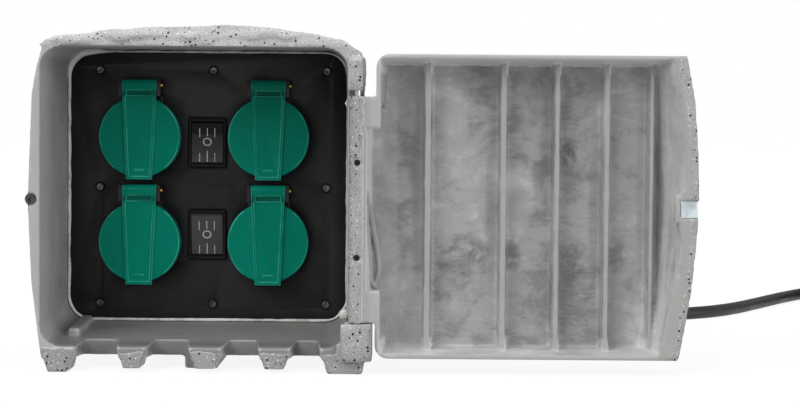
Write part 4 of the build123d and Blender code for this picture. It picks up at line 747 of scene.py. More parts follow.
@dataclass(frozen=True)
class DoorFinish:
    """Coat outside and bare moulding inside the door's tray."""

    # Dark clouds, painted shadows beside the ribs' left sides and pale blooms, each as
    # Sheet.clouds takes them
    soot: Patches = (
        (222.4, 130.0, 0.75, 7.0, 14.0),
        (188.6, 69.0, 0.6, 8.0, 13.0),
        (226.0, 62.0, 0.45, 8.0, 16.0),
        (160.0, 68.0, 0.6, 20.0, 15.0),
        (206.0, 122.0, 0.4, 8.0, 24.0),
        (252.0, 70.0, 0.4, 9.0, 14.0),
        (116.0, 140.0, 0.35, 7.0, 22.0),
    )
    rib_shadows: Patches = (
        (133.0, 112.0, 0.55, 6.5, 74.0),
        (177.0, 104.0, 0.4, 5.5, 70.0),
        (209.5, 130.0, 0.4, 5.5, 50.0),
        (239.0, 96.0, 0.35, 5.0, 66.0),
        (267.0, 112.0, 0.3, 5.0, 60.0),
    )
    blooms: Patches = (
        (146.0, 44.0, 0.5, 14.0, 15.0),
        (150.0, 150.0, 0.3, 16.0, 22.0),
        (188.0, 98.0, 0.4, 8.0, 18.0),
        (252.0, 108.0, 0.35, 12.0, 12.0),
    )

    def coated(self, sheet: Sheet) -> Socket:
        """How much of the coat lies at each point.

        Args:
            sheet: The material's sheet.

        Returns:
            The share, 1 outside and 0 in the tray.
        """
        x, y, z = sheet.axes()
        ragged = sheet.noise(150.0, detail=3.0)
        wander = sheet.span(ragged, 0.2, 0.8, -0.0016, 0.0016)
        depth = sheet.minus(y, FRONT)
        lean = sheet.plus(sheet.all_of(depth, 0.085), 0.0013)
        low = sheet.minus(z, 0.0092, lean)
        high = sheet.minus(sheet.minus(0.1890, z), lean)
        bow = sheet.all_of(sheet.minus(z, BOW_MIDDLE), BOW_GROWTH)
        bow = sheet.all_of(bow, bow, BOW_DEPTH)
        free = sheet.minus(HINGE[0] + DOOR_REACH - 0.0052, bow)
        free = sheet.minus(free, sheet.all_of(depth, FREE_SIDE_SLOPE), x)
        hinge = sheet.minus(x, HINGE[0] + 0.0052)
        tall = sheet.span(y, FRONT + 0.0295, FRONT + 0.0288)
        parts = [sheet.span(part, -0.0002, 0.0002) for part in (low, high, free, hinge)]
        inside = sheet.all_of(*parts, tall)
        front = sheet.all_of(
            sheet.span(sheet.facing()[1], -0.35, -0.7), sheet.span(y, FRONT + 0.004, FRONT + 0.002)
        )
        strip = sheet.plus(x, wander)
        edge = sheet.minus(strip, sheet.minus(HINGE[0] + DOOR_REACH - 0.0045, bow))
        rim = sheet.most(
            sheet.span(edge, -0.0004, 0.0004), sheet.span(strip, 0.0984, 0.0974)
        )
        shell = sheet.plus(sheet.all_of(front, rim), sheet.minus(1.0, front))
        return sheet.all_of(sheet.minus(1.0, inside), shell)

    def make(self) -> bpy.types.Material:
        """Builds the material.

        Returns:
            The material.
        """
        sheet = Sheet("stone_look_door")
        bare = Bare()
        x, y, z = sheet.axes()
        torn = sheet.noise(70.0, bare.bent(sheet, 34.0, 0.04, 0.8), detail=5.0, rough=0.6)
        soot = sheet.all_of(sheet.clouds(*self.soot), sheet.span(torn, 0.42, 0.56))
        bloom = sheet.all_of(sheet.clouds(*self.blooms), sheet.span(torn, 0.6, 0.44))
        turned, forward, lifted = sheet.facing()
        ahead = sheet.span(forward, -0.6, -0.85)
        crest = sheet.all_of(ahead, sheet.span(y, FRONT + 0.0175, FRONT + 0.016, 0.0, 0.9))
        # Painted light on the tray's inner walls near its top, bottom and hinge side, most on
        # faces turned down or to +X
        edge = sheet.most(
            sheet.span(z, 0.1765, 0.1795),
            sheet.span(z, 0.0215, 0.0185),
            sheet.span(x, 0.1105, 0.1080),
        )
        below = sheet.most(
            sheet.span(lifted, -0.3, -0.7, 0.25, 1.0), sheet.span(turned, 0.3, 0.7, 0.0, 0.7)
        )
        streak = sheet.noise(210.0, sheet.place((1.0, 1.0, 0.05)), detail=4.0, rough=0.6)
        lean = sheet.all_of(
            sheet.span(x, 0.272, 0.2745), sheet.span(y, FRONT + 0.0005, FRONT + 0.001)
        )
        swirled = sheet.layers(
            bare.colour(sheet),
            # Painted shadow along the left side of each rib
            (sheet.clouds(*self.rib_shadows), paint(122, 122, 123)),
            (soot, paint(92, 92, 93)),
            (bloom, paint(186, 187, 188)),
            (crest, bare.skin),
            # Painted light on the tray's inner walls
            (sheet.all_of(sheet.span(forward, -0.85, -0.5), edge, below), paint(248, 248, 249)),
            # Painted light on the tray floor beside the hinge side
            (sheet.all_of(ahead, sheet.span(x, 0.1215, 0.1175, 0.0, 0.26)), paint(208, 208, 209)),
            (sheet.all_of(lean, 0.3), paint(196, 196, 197)),
            (sheet.all_of(lean, sheet.span(streak, 0.4, 0.62, 0.0, 0.6)), paint(204, 205, 205)),
            # Painted highlight along sharp outer edges
            (sheet.all_of(sheet.ridges(), 0.4), paint(208, 208, 206)),
        )
        ground = sheet.bump(sheet.noise(70.0, detail=5.0), 0.0008)
        return Coat().over(sheet, self.coated(sheet), swirled, 2.0, ground)


@dataclass(frozen=True)
class Plastic:
    """Injection-moulded plastic with a faint grain."""

    name: str
    colour: Colour
    shade_to: Colour
    rough: float = 0.35
    grain: float = 900.0
    depth: float = 0.00006
    specular: float = 0.4
    # Painted highlight along sharp edges and the lid discs' rims
    painted_edge_highlight: Colour | None = None
    # Painted shadow in the lids' hinge slots, at these heights
    slot_shadow_heights: tuple[float, ...] = ()
    painted_slot_shadow: Colour = paint(0, 40, 32)
    discs: tuple[Point, ...] = ()
    # Painted sheen: paler patches over the panel
    painted_sheen_areas: Patches = ()
    pale: Colour = paint(48, 48, 48)

    def make(self) -> bpy.types.Material:
        """Builds the material.

        Returns:
            The material.
        """
        sheet = Sheet(self.name)
        cloud = sheet.noise(45.0, detail=3.0)
        colour = sheet.mix(sheet.span(cloud, 0.3, 0.7), self.colour, self.shade_to)
        # Painted sheen over the panel's middle and top
        if self.painted_sheen_areas:
            colour = sheet.mix(sheet.clouds(*self.painted_sheen_areas), colour, self.pale)
        # Painted shadow in the lids' hinge slots
        for height in self.slot_shadow_heights:
            away = sheet.size_of(sheet.minus(sheet.axes()[2], height))
            near = sheet.span(away, 0.0034, 0.0005, 0.0, 0.55)
            colour = sheet.mix(near, colour, self.painted_slot_shadow)
        # Painted highlights along sharp edges
        if self.painted_edge_highlight is not None:
            fade = sheet.span(sheet.noise(60.0, detail=3.0), 0.35, 0.6, 0.2, 0.75)
            share = sheet.all_of(sheet.rims(0.0007), fade)
            x, _, z = sheet.axes()
            # Painted highlight rings along the lid discs' rims
            for middle_x, middle_z, radius in self.discs:
                across = sheet.minus(x, middle_x * MM)
                up = sheet.minus(z, middle_z * MM)
                away = sheet.plus(sheet.all_of(across, across), sheet.all_of(up, up))
                away = sheet.minus(sheet.maths("SQRT", away), radius * MM)
                ring = sheet.span(sheet.size_of(away), 0.0006, 0.0001)
                clear = sheet.span(sheet.size_of(across), 0.0145, 0.0165)
                share = sheet.most(share, sheet.all_of(ring, clear, fade, 0.8))
            colour = sheet.mix(share, colour, self.painted_edge_highlight)
        handled = sheet.noise(130.0, detail=5.0)
        rough = sheet.span(handled, 0.3, 0.7, self.rough - 0.05, self.rough + 0.07)
        normal = sheet.bump(sheet.noise(self.grain, detail=3.0), self.depth)
        return sheet.shade(colour, rough, normal, specular=self.specular)


@dataclass(frozen=True)
class RockerFace:
    """Glossy black rockers with painted light and shade: a painted shadow along the upper rocker's
    top, a darker upper face, and paler painted light on its foot and on the lower rocker.
    """

    name: str = "rocker_black"
    # Painted shadow under the bezel's top edge, the darker painted shade of the upper face and the
    # paler painted light below
    deep: Colour = paint(4, 4, 5)
    upper: Colour = paint(46, 46, 48)
    lower: Colour = paint(62, 62, 64)

    def make(self) -> bpy.types.Material:
        """Builds the material.

        Returns:
            The material.
        """
        sheet = Sheet(self.name)
        z = sheet.axes()[2]
        haze = sheet.noise(120.0, detail=4.0)
        height = sheet.plus(z, sheet.span(haze, 0.3, 0.7, -0.001, 0.001))
        # Painted shade above, painted light below
        fade = sheet.span(height, 0.129, 0.124)
        colour = sheet.mix(fade, self.upper, self.lower)
        # Painted shadow of the bezel's top edge
        colour = sheet.mix(sheet.span(z, 0.1405, 0.1419), colour, self.deep)
        rough = sheet.span(haze, 0.3, 0.7, 0.16, 0.26)
        return sheet.shade(colour, rough, sheet.bump(haze, 0.00004), specular=0.25)


@dataclass(frozen=True)
class Metal:
    """Bare or plated metal with fine turning marks."""

    name: str
    colour: Colour
    dull: Colour
    rough: float = 0.3

    def make(self) -> bpy.types.Material:
        """Builds the material.

        Returns:
            The material.
        """
        sheet = Sheet(self.name)
        stain = sheet.noise(240.0, detail=5.0)
        colour = sheet.mix(sheet.span(stain, 0.45, 0.75), self.colour, self.dull)
        marks = sheet.noise(900.0, sheet.place((1.0, 6.0, 1.0)), detail=3.0)
        rough = sheet.span(stain, 0.3, 0.8, self.rough, self.rough + 0.2)
        return sheet.shade(colour, rough, sheet.bump(marks, 0.00004), metal=1.0)


@dataclass(frozen=True)
class Rubber:
    """Matt rubber with a dusty bloom."""

    name: str
    colour: Colour
    bloom: Colour
    rough: float = 0.55

    def make(self) -> bpy.types.Material:
        """Builds the material.

        Returns:
            The material.
        """
        sheet = Sheet(self.name)
        dust = sheet.noise(60.0, detail=6.0, rough=0.65)
        colour = sheet.mix(sheet.span(dust, 0.42, 0.72, 0.0, 0.6), self.colour, self.bloom)
        rough = sheet.span(dust, 0.3, 0.7, self.rough - 0.06, self.rough + 0.12)
        normal = sheet.bump(sheet.noise(700.0, detail=4.0), 0.00012)
        return sheet.shade(colour, rough, normal, specular=0.4)


@dataclass(frozen=True)
class Sealant:
    """Silicone squeezed along the panel and smoothed by hand."""

    name: str = "sealant_pale"
    colour: Colour = paint(226, 229, 223)
    dusty: Colour = paint(182, 185, 178)
    clear: float = 0.0
    rough: float = 0.3
    # Painted light on the bead in the recess's upper left corner
    painted_corner_light: tuple[float, ...] = (-81.0, 186.0, 0.9, 20.0, 20.0)

    def make(self) -> bpy.types.Material:
        """Builds the material.

        Returns:
            The material.
        """
        sheet = Sheet(self.name)
        soil = sheet.noise(110.0, detail=6.0, rough=0.6, distort=0.6)
        colour = sheet.mix(sheet.span(soil, 0.4, 0.66), self.colour, self.dusty)
        # Painted light in the upper left corner
        colour = sheet.mix(sheet.clouds(self.painted_corner_light), colour, paint(246, 248, 242))
        normal = sheet.bump(sheet.noise(260.0, detail=4.0), 0.0004)
        return sheet.shade(colour, self.rough, normal, specular=0.5, clear=self.clear)


@dataclass(frozen=True)
class HookTape:
    """Woven hook-and-loop tape."""

    name: str = "hook_tape"
    colour: Colour = paint(26, 26, 28)
    lint: Colour = paint(62, 62, 64)

    def make(self) -> bpy.types.Material:
        """Builds the material.

        Returns:
            The material.
        """
        sheet = Sheet(self.name)
        distance, _ = sheet.cells(1400.0)
        fuzz = sheet.noise(500.0, detail=6.0, rough=0.7)
        colour = sheet.mix(sheet.span(fuzz, 0.45, 0.75), self.colour, self.lint)
        return sheet.shade(colour, 0.85, sheet.bump(distance, 0.0003), specular=0.2)


class Finishes:
    """Every material by its short name, each built once."""

    def __init__(self) -> None:
        """Builds them all."""
        kinds = {
            "housing": HousingFinish(),
            "door": DoorFinish(),
            "panel": Plastic(
                "panel_black", paint(20, 20, 21), paint(28, 28, 28), 0.42, 700.0, 0.00012, 0.24,
                # Painted sheen over the panel's middle and top
                painted_sheen_areas=((6.0, 184.0, 0.8, 72.0, 66.0),),
            ),
            "socket": Plastic(
                "socket_black", paint(20, 20, 20), paint(27, 27, 27), 0.4, 800.0, 0.00008, 0.3
            ),
            "switch": Plastic(
                "switch_black", paint(12, 12, 13), paint(17, 17, 18), 0.3, 700.0, 0.00004, 0.14
            ),
            "rocker": RockerFace(),
            "marks": Plastic(
                "marks_pale", paint(176, 176, 176), paint(196, 196, 196), 0.5, 900.0, 0.00004
            ),
            "lid": Plastic(
                "lid_green", paint(0, 122, 101), paint(0, 128, 106), 0.3, 600.0, 0.00005, 0.06,
                # Painted edge highlights and painted shadow in the hinge slots
                painted_edge_highlight=paint(84, 214, 190), slot_shadow_heights=(0.1005, 0.1661),
                discs=tuple((x, z, 24.85) for x in (-41.8, 38.6) for z in (73.5, 139.1)),
            ),
            "mould_light": Plastic(
                "moulding_light", paint(188, 188, 187), paint(176, 176, 175), 0.45
            ),
            "block": Plastic("block_cream", paint(206, 202, 190), paint(192, 188, 176), 0.45),
            "brown": Plastic("wire_brown", paint(92, 54, 34), paint(80, 46, 28), 0.4),
            "blue": Plastic("wire_blue", paint(40, 92, 168), paint(34, 80, 150), 0.4),
            "green": Plastic("wire_green", paint(70, 140, 60), paint(196, 190, 60), 0.4),
            "screw": Metal("screw_black", paint(92, 92, 94), paint(36, 36, 38), 0.24),
            "steel": Metal("steel_plated", paint(186, 188, 190), paint(140, 142, 144)),
            "brass": Metal("brass", paint(190, 148, 78), paint(140, 104, 52)),
            "magnet": Metal("magnet_nickel", paint(216, 226, 230), paint(194, 206, 210)),
            "gasket": Rubber("gasket_black", paint(24, 24, 24), paint(46, 46, 45), 0.7),
            "lead": Rubber("lead_black", paint(37, 36, 38), paint(66, 64, 66), 0.46),
            "sealant": Sealant(),
            "drop": Sealant(
                "sealant_drop", paint(230, 232, 228), paint(206, 208, 204), 0.3, 0.18
            ),
            "tape": HookTape(),
        }
        self.by_name: dict[str, bpy.types.Material] = {
            name: kind.make() for name, kind in kinds.items()
        }

    def on(self, piece: Piece, name: str) -> None:
        """Gives a piece one finish all over.

        Args:
            piece: The object.
            name: The finish's short name.
        """
        piece.data.materials.clear()
        piece.data.materials.append(self.by_name[name])


# Workbench: the small moves of modelling by hand


class Bench:
    """Selecting, adding and finishing meshes with Blender's own operators."""

    def __init__(self, frame: dict) -> None:
        """Keeps the frame's nodes at hand.
        """
        self.nodes = frame["nodes"]

    @contextmanager
    def editing(self) -> Iterator[None]:
        """Edit mode on the active mesh, with all of it selected."""
        bpy.ops.object.mode_set(mode="EDIT")
        bpy.ops.mesh.select_all(action="SELECT")
        yield
        bpy.ops.object.mode_set(mode="OBJECT")

    def pick(self, *pieces: Piece) -> None:
        """Selects these pieces and nothing else; the first is active.

        Args:
            pieces: The objects.
        """
        for other in list(bpy.context.selected_objects):
            other.select_set(False)
        for piece in pieces:
            piece.select_set(True)
        bpy.context.view_layer.objects.active = pieces[0]

    def settle(self, piece: Piece, name: str) -> Piece:
        """Names a new piece and moves its place into its mesh.

        Args:
            piece: The object.
            name: Its name.

        Returns:
            The same object.
        """
        piece.name = name
        piece.data.name = name
        self.pick(piece)
        bpy.ops.object.transform_apply(location=True, rotation=True, scale=True)
        return piece

    def copy_node(self, node: str, name: str) -> Piece:
        """A copy of a CAD node with its doubles merged.

        Args:
            node: The node.
            name: The copy's name.

        Returns:
            The new object.
        """
        mesh = self.nodes[node].data.copy()
        mesh.name = name
        mesh.materials.clear()
        piece = shown(name, mesh)
        self.pick(piece)
        if mesh.has_custom_normals:
            bpy.ops.mesh.customdata_custom_splitnormals_clear()
        with self.editing():
            bpy.ops.mesh.remove_doubles(threshold=0.000002)
        return piece

    def modify(self, piece: Piece, kind: str, **settings: object) -> None:
        """Adds a modifier, sets it and applies it.

        Args:
            piece: The object.
            kind: The modifier's type.
            settings: Its values.
        """
        modifier = piece.modifiers.new(kind.lower(), kind)
        for key, value in settings.items():
            setattr(modifier, key, value)
        self.pick(piece)
        bpy.ops.object.modifier_apply(modifier=modifier.name)

    def smooth_shade(self, piece: Piece, degrees: float) -> None:
        """Shades a piece smooth up to an angle.

        Args:
            piece: The object.
            degrees: The angle.
        """
        self.pick(piece)
        bpy.ops.object.shade_smooth_by_angle(angle=math.radians(degrees))

    def break_edges(self, piece: Piece, edge: Edge) -> None:
        """Rounds a piece's sharp edges.

        Args:
            piece: The object.
            edge: How far.
        """
        self.pick(piece)
        with self.editing():
            bpy.ops.mesh.dissolve_limited(angle_limit=math.radians(1.0))
        self.modify(
            piece,
            "BEVEL",
            width=edge.value,
            segments=2,
            limit_method="ANGLE",
            angle_limit=math.radians(35.0),
            use_clamp_overlap=True,
        )
        self.smooth_shade(piece, 40.0)

    def join(self, first: Piece, *others: Piece) -> Piece:
        """Joins pieces into the first.

        Args:
            first: The object that stays.
            others: The objects that go into it.

        Returns:
            The first object.
        """
        self.pick(first, *others)
        bpy.ops.object.join()
        return first

    def bar(self, low: Point, high: Point, round_off: float = 0.0) -> Piece:
        """A bar between two corners with rounded edges.

        Args:
            low: Lowest corner.
            high: Highest corner.
            round_off: Radius of its edges.

        Returns:
            The new object.
        """
        first, second = Vector(low), Vector(high)
        bpy.ops.mesh.primitive_cube_add(size=1.0, location=(first + second) / 2)
        piece = bpy.context.active_object
        piece.scale = second - first
        self.settle(piece, "bar")
        if round_off > 0:
            with self.editing():
                bpy.ops.mesh.bevel(offset=round_off, segments=2, affect="EDGES")
        return piece

    def ring(
        self,
        middle: Point,
        radii: tuple[float, float],
        steps: tuple[int, int],
        scale: Point = (1.0, 1.0, 1.0),
    ) -> Piece:
        """A ring that stands in the XZ plane.

        Args:
            middle: Its centre, in metres.
            radii: The ring's radius and its wire's, in metres.
            steps: Faces along it and round its wire.
            scale: Stretch across, up and in depth.

        Returns:
            The new object.
        """
        bpy.ops.mesh.primitive_torus_add(
            major_radius=radii[0],
            minor_radius=radii[1],
            major_segments=steps[0],
            minor_segments=steps[1],
            location=middle,
            rotation=(math.pi / 2, 0.0, 0.0),
        )
        piece = bpy.context.active_object
        piece.scale = scale
        return self.settle(piece, "ring")

    def plate(self, outline: Outline, y: float, depth: float) -> Piece:
        """A flat plate of a drawn outline, standing in the XZ plane.

        Args:
            outline: Its (x, z) corners, in millimetres.
            y: Its front face.
            depth: Its thickness, towards +Y.

        Returns:
            The new object.
        """
        mesh = bpy.data.meshes.new("plate")
        corners = [(x * MM, y, z * MM) for x, z in outline]
        mesh.from_pydata(corners, [], [list(range(len(corners)))])
        piece = shown("plate", mesh)
        self.pick(piece)
        with self.editing():
            bpy.ops.mesh.extrude_region_move(TRANSFORM_OT_translate={"value": (0.0, depth, 0.0)})
            bpy.ops.mesh.select_all(action="SELECT")
            bpy.ops.mesh.normals_make_consistent(inside=False)
        return piece

    def curve(
        self,
        points: list[Point],
        radii: list[float],
        name: str,
        steps: tuple[int, int],
        closed: bool = False,
    ) -> Piece:
        """A round curve of one smooth spline.

        Args:
            points: Where it runs, in metres.
            radii: Its radius at each point.
            name: Its name.
            steps: Divisions between points and round a quarter.
            closed: Whether it ends where it starts.

        Returns:
            The new object.
        """
        curve = bpy.data.curves.new(name, "CURVE")
        curve.dimensions = "3D"
        curve.resolution_u, curve.bevel_resolution = steps
        curve.bevel_depth = 1.0
        curve.use_fill_caps = True
        spline = curve.splines.new("NURBS")
        spline.points.add(len(points) - 1)
        for spot, place, radius in zip(spline.points, points, radii):
            spot.co = (*place, 1.0)
            spot.radius = radius
        spline.order_u = 3
        spline.use_endpoint_u = not closed
        spline.use_cyclic_u = closed
        return shown(name, curve)

    def string(
        self, points: list[Point], radii: list[float], name: str, closed: bool = False
    ) -> Piece:
        """A round bead along points, as a mesh.

        Args:
            points: Where it runs, in metres.
            radii: Its radius at each point.
            name: Its name.
            closed: Whether it ends where it starts.

        Returns:
            The new object.
        """
        self.pick(self.curve(points, radii, name, (6, 4), closed))
        bpy.ops.object.convert(target="MESH")
        return bpy.context.active_object

    def lathe(self, profile: Outline, name: str, steps: int = 48) -> Piece:
        """A turned shape about the Y axis.

        Args:
            profile: (radius, y) points from one end to the other, in millimetres.
            name: Its name.
            steps: Faces round it.

        Returns:
            The new object.
        """
        spots = [(radius * MM, y * MM) for radius, y in profile]
        bpy.ops.mesh.primitive_plane_add(size=0.001, location=(*spots[0], 0))
        piece = self.settle(bpy.context.active_object, name)
        with self.editing():
            bpy.ops.mesh.merge(type="CENTER")
            for (r0, y0), (r1, y1) in zip(spots, spots[1:]):
                bpy.ops.mesh.extrude_region_move(
                    TRANSFORM_OT_translate={"value": (r1 - r0, y1 - y0, 0.0)}
                )
            bpy.ops.mesh.select_all(action="SELECT")
            bpy.ops.mesh.spin(
                steps=steps, angle=2 * math.pi, center=(0, 0, 0), axis=(0, 1, 0), dupli=False
            )
            bpy.ops.mesh.select_all(action="SELECT")
            bpy.ops.mesh.remove_doubles(threshold=0.000005)
            bpy.ops.mesh.normals_make_consistent(inside=False)
        return piece

    def reskin(self, piece: Piece, voxel: float, rounds: int) -> None:
        """Remeshes a piece finely, lays the skin back on the old shape and rounds it a little.

        Args:
            piece: The object.
            voxel: Mesh size in metres.
            rounds: Smoothing rounds.
        """
        shape = piece.copy()
        shape.data = piece.data.copy()
        bpy.context.scene.collection.objects.link(shape)
        self.modify(piece, "REMESH", mode="VOXEL", voxel_size=voxel, adaptivity=0.0)
        self.modify(piece, "SMOOTH", factor=0.5, iterations=2)
        self.modify(piece, "SHRINKWRAP", target=shape, wrap_method="NEAREST_SURFACEPOINT")
        self.modify(piece, "SMOOTH", factor=0.5, iterations=rounds)
        mesh = shape.data
        bpy.data.objects.remove(shape)
        bpy.data.meshes.remove(mesh)

    def weigh(self, piece: Piece, name: str, rule: object) -> None:
        """A vertex group whose weights follow a rule of place.

        Args:
            piece: The object.
            name: The group's name.
            rule: Gives the weight of a point.
        """
        group = piece.vertex_groups.new(name=name)
        for vertex in piece.data.vertices:
            weight = rule(vertex.co)
            if weight > 0.0:
                group.add([vertex.index], weight, "REPLACE")

    def lumps(self, piece: Piece, group: str, *waves: tuple[float, float]) -> None:
        """Pushes a surface in and out along its normals by cloudy noise.

        Args:
            piece: The object.
            group: The vertex group that holds it back.
            waves: Size and whole height of the lumps of each push, in metres.
        """
        for size, strength in waves:
            texture = bpy.data.textures.new(f"{piece.name}_{group}_{size}", "CLOUDS")
            texture.noise_scale = size
            texture.noise_depth = 2
            self.modify(
                piece,
                "DISPLACE",
                texture=texture,
                texture_coords="LOCAL",
                strength=strength,
                mid_level=0.5,
                vertex_group=group,
            )


@dataclass
class Maker:
    """Models some pieces of the part and dresses them."""

    bench: Bench
    finishes: Finishes

    def dress(self, piece: Piece, finish: str, slot: str, body: Body, *nodes: str) -> None:
        """Gives a piece its finish, puts it on its body and hides the CAD nodes that it stands
        for.

        Args:
            piece: The object.
            finish: The finish's short name.
            slot: Not used.
            body: The body that it rides on.
            nodes: The CAD nodes that it stands for, if any.
        """
        self.finishes.on(piece, finish)
        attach(piece, body.value)
        if nodes:
            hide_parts(*nodes)


# Studio


@dataclass
class Studio:
    """Camera, lamps, world and floor at the photograph's view."""

    lens: float = 77.04
    place: Point = (0.121, -1.072, 0.1384)
    pitch: float = 2.04
    roll: float = 0.45
    lamps: tuple[tuple[str, float, Point, float], ...] = (
        ("key", 1.3, (0.62, 0.7, -0.62), 34.0),
        ("fill", 1.35, (-0.85, 0.55, -0.06), 40.0),
        ("top", 0.8, (0.1, 0.35, -1.0), 50.0),
    )
    sky: float = 0.46
    floor_lit: Colour = (0.35, 0.35, 0.35)
    floor_seen: Colour = (0.12, 0.12, 0.12)
    floor_glow: float = 0.9

    def camera(self) -> None:
        """Adds the camera and makes it the scene's."""
        data = bpy.data.cameras.new("view")
        data.lens = self.lens
        data.sensor_width = 36.0
        data.clip_start = 0.01
        camera = shown("view", data)
        turn = Matrix.Rotation(math.radians(90.0 - self.pitch), 4, "X")
        turn = turn @ Matrix.Rotation(math.radians(self.roll), 4, "Z")
        camera.matrix_world = Matrix.Translation(self.place) @ turn
        bpy.context.scene.camera = camera

    def lamp(self, name: str, strength: float, aim: Point, spread: float) -> None:
        """Adds one soft distant lamp.

        Args:
            name: Its name.
            strength: Its power.
            aim: The way its light travels.
            spread: Its angle in degrees, which softens its shadows.
        """
        data = bpy.data.lights.new(name, "SUN")
        data.energy = strength
        data.angle = math.radians(spread)
        lamp = shown(name, data)
        lamp.rotation_euler = Vector(aim).to_track_quat("-Z", "Y").to_euler()

    def world(self) -> None:
        """Even light from all round, white where it is seen."""
        world = bpy.data.worlds.new("studio")
        world.use_nodes = True
        bpy.context.scene.world = world
        tree = world.node_tree
        tree.nodes.clear()
        light, white = (
            add_node(tree, "Background", {"Color": (1.0, 1.0, 1.0), "Strength": strength})
            for strength in (self.sky, 1.0)
        )
        seen = add_node(tree, "LightPath", {}).outputs["Is Camera Ray"]
        mix = add_node(tree, "MixShader", {0: seen, 1: light.outputs[0], 2: white.outputs[0]})
        add_node(tree, "OutputWorld", {0: mix.outputs[0]})

    def floor(self) -> None:
        """A wide floor that keeps the shadow and is white where rays see it directly."""
        bpy.ops.mesh.primitive_plane_add(size=60.0, location=(0, 0, 0))
        plane = bpy.context.active_object
        plane.name = "studio_floor"
        sheet = Sheet("studio_floor")
        path = sheet.add("LightPath", {}).outputs
        seen = sheet.most(
            path["Is Camera Ray"], path["Is Glossy Ray"], path["Is Transmission Ray"]
        )
        tint = sheet.mix(seen, self.floor_lit, self.floor_seen)
        matt = sheet.add("BsdfDiffuse", {"Color": tint})
        glow = sheet.add("Emission", {"Strength": sheet.all_of(seen, self.floor_glow)})
        both = sheet.add("AddShader", {0: matt.outputs[0], 1: glow.outputs[0]})
        plane.data.materials.append(sheet.close(both))

    def build(self) -> None:
        """Sets the whole studio up."""
        bpy.context.scene.view_settings.view_transform = "Standard"
        self.camera()
        self.world()
        self.floor()
        for lamp in self.lamps:
            self.lamp(*lamp)
        LOG.info("studio: camera, world, floor and %d lamps", len(self.lamps))


# Supply lead


@dataclass
class SupplyLead(Maker):
    """The lead outside the housing, a cord, and the bush that it comes out of."""

    diameter: float = 0.0096
    length: float = 1.472
    exit: Point = (0.040, 0.101, 0.0264)
    ground: float = 4.8
    coil_turns: float = 2.41
    coil_middle: float = 52.0
    coil_step: float = 10.2
    coil_start: tuple[float, float] = (486.0, 450.0)
    coil_heading: float = 57.0
    coil_points: int = 20
    tie_thickness: float = 0.8
    coil_lead: float = 9.6
    coil_approach: float = 50.0
    coil_growth: float = 1.0125
    tail: Point = (12.6, 26.04, 42.0)
    plug_height: float = 18.5
    bush_rings: int = 7
    bush_start: float = 66.2
    bush_pitch: float = 4.75
    bush_radius: float = 9.0
    bush_taper: float = 0.37
    carried: tuple[str, ...] = ("coil_tie", "plug_body", "plug_pins", "plug_earth_strips")
    route: tuple[Point, ...] = (
        (40.0, 101.0, 26.4), (40.0, 129.0, 26.4), (46.0, 168.0, 12.5), (66.0, 199.0, 4.8),
        (104.0, 220.0, 4.8), (158.0, 229.0, 4.8), (214.0, 234.5, 4.8), (268.0, 235.0, 4.8),
        (318.0, 247.0, 4.8), (360.0, 269.0, 4.8), (391.0, 304.0, 4.8), (420.0, 352.0, 4.8),
    )

    def coil_radius(self, turn: float) -> float:
        """The coil's radius at this turn, in millimetres."""
        half = self.coil_turns / 2
        return self.coil_middle + self.coil_step * (abs(turn - half) - half / 2)

    def coil_place(self, turn: float, out: float = 1.0) -> Vector:
        """A point of the coil, in millimetres.

        Args:
            turn: Turns from its start.
            out: Share by which the radius grows, since the line cuts inside its points.

        Returns:
            The point.
        """
        heading = math.radians(self.coil_heading)
        start = self.coil_radius(0.0)
        middle = Vector(
            (
                self.coil_start[0] + start * math.sin(heading),
                self.coil_start[1] - start * math.cos(heading),
                0.0,
            )
        )
        angle = heading + math.pi / 2 - 2 * math.pi * turn
        radius = self.coil_radius(turn) * out
        climb = ramp(turn, self.coil_turns / 2 - 0.25, self.coil_turns / 2 + 0.25)
        height = self.ground + self.tie_thickness + climb * self.coil_step
        return middle + Vector((radius * math.cos(angle), radius * math.sin(angle), height))

    def line(self) -> list[Vector]:
        """The control points from the bush to the plug, in metres."""
        small = 1e-4
        first = self.coil_place(0.0)
        way_in = (self.coil_place(small) - first).normalized()
        last = self.coil_place(self.coil_turns)
        way_out = (last - self.coil_place(self.coil_turns - small)).normalized()
        points = [Vector(point) for point in self.route]
        end = first - way_in * self.coil_lead
        points += [end - way_in * self.coil_approach, end]
        count = round(self.coil_turns * self.coil_points)
        points += [
            self.coil_place(self.coil_turns * i / count, self.coil_growth)
            for i in range(count + 1)
        ]
        start = last + way_out * self.coil_lead
        flat = Vector((way_out.x, way_out.y, 0.0)).normalized()
        rise = Vector((0.0, 0.0, self.plug_height - start.z))
        points += [
            start,
            start + way_out * self.tail[0],
            start + flat * self.tail[1] + rise,
            start + flat * self.tail[2] + rise,
        ]
        return [point * MM for point in points]

    def build(self) -> None:
        points = self.line()
        piece = self.bench.curve(points, [1.0] * len(points), "supply_lead", (8, 6))
        piece.data.bevel_depth = self.diameter / 2
        replaced = ("cable_free_stretch", "cable_coil", "cable_tail")
        self.dress(piece, "lead", "lead_rubber", Body.ROOT, *replaced)
        LOG.info("supply lead: %d control points", len(points))

    def bush(self) -> None:
        """The ribbed bush that the lead comes out of, in place of the plain taper."""
        profile = [(4.85, 60.0), (11.4, 60.0), (11.4, 62.0), (7.9, 62.0), (7.9, 66.0)]
        for ring in range(self.bush_rings):
            start = self.bush_start + ring * self.bush_pitch
            radius = self.bush_radius - self.bush_taper * ring
            profile += [
                (radius, start),
                (radius - 0.05, start + 2.7),
                (radius - 1.25, start + 3.0),
                (radius - 1.3, start + 4.4),
            ]
        profile += [(6.2, 99.6), (6.0, 100.8), (4.85, 100.8)]
        piece = self.bench.lathe(profile, "lead_bush")
        piece.location = (self.exit[0], 0.0, self.exit[2])
        self.bench.settle(piece, "lead_bush")
        self.bench.break_edges(piece, Edge.CRISP)
        self.dress(piece, "lead", "lead_rubber", Body.ROOT, "cable_bush")
        LOG.info("lead bush: %d rings", self.bush_rings)


# Housing


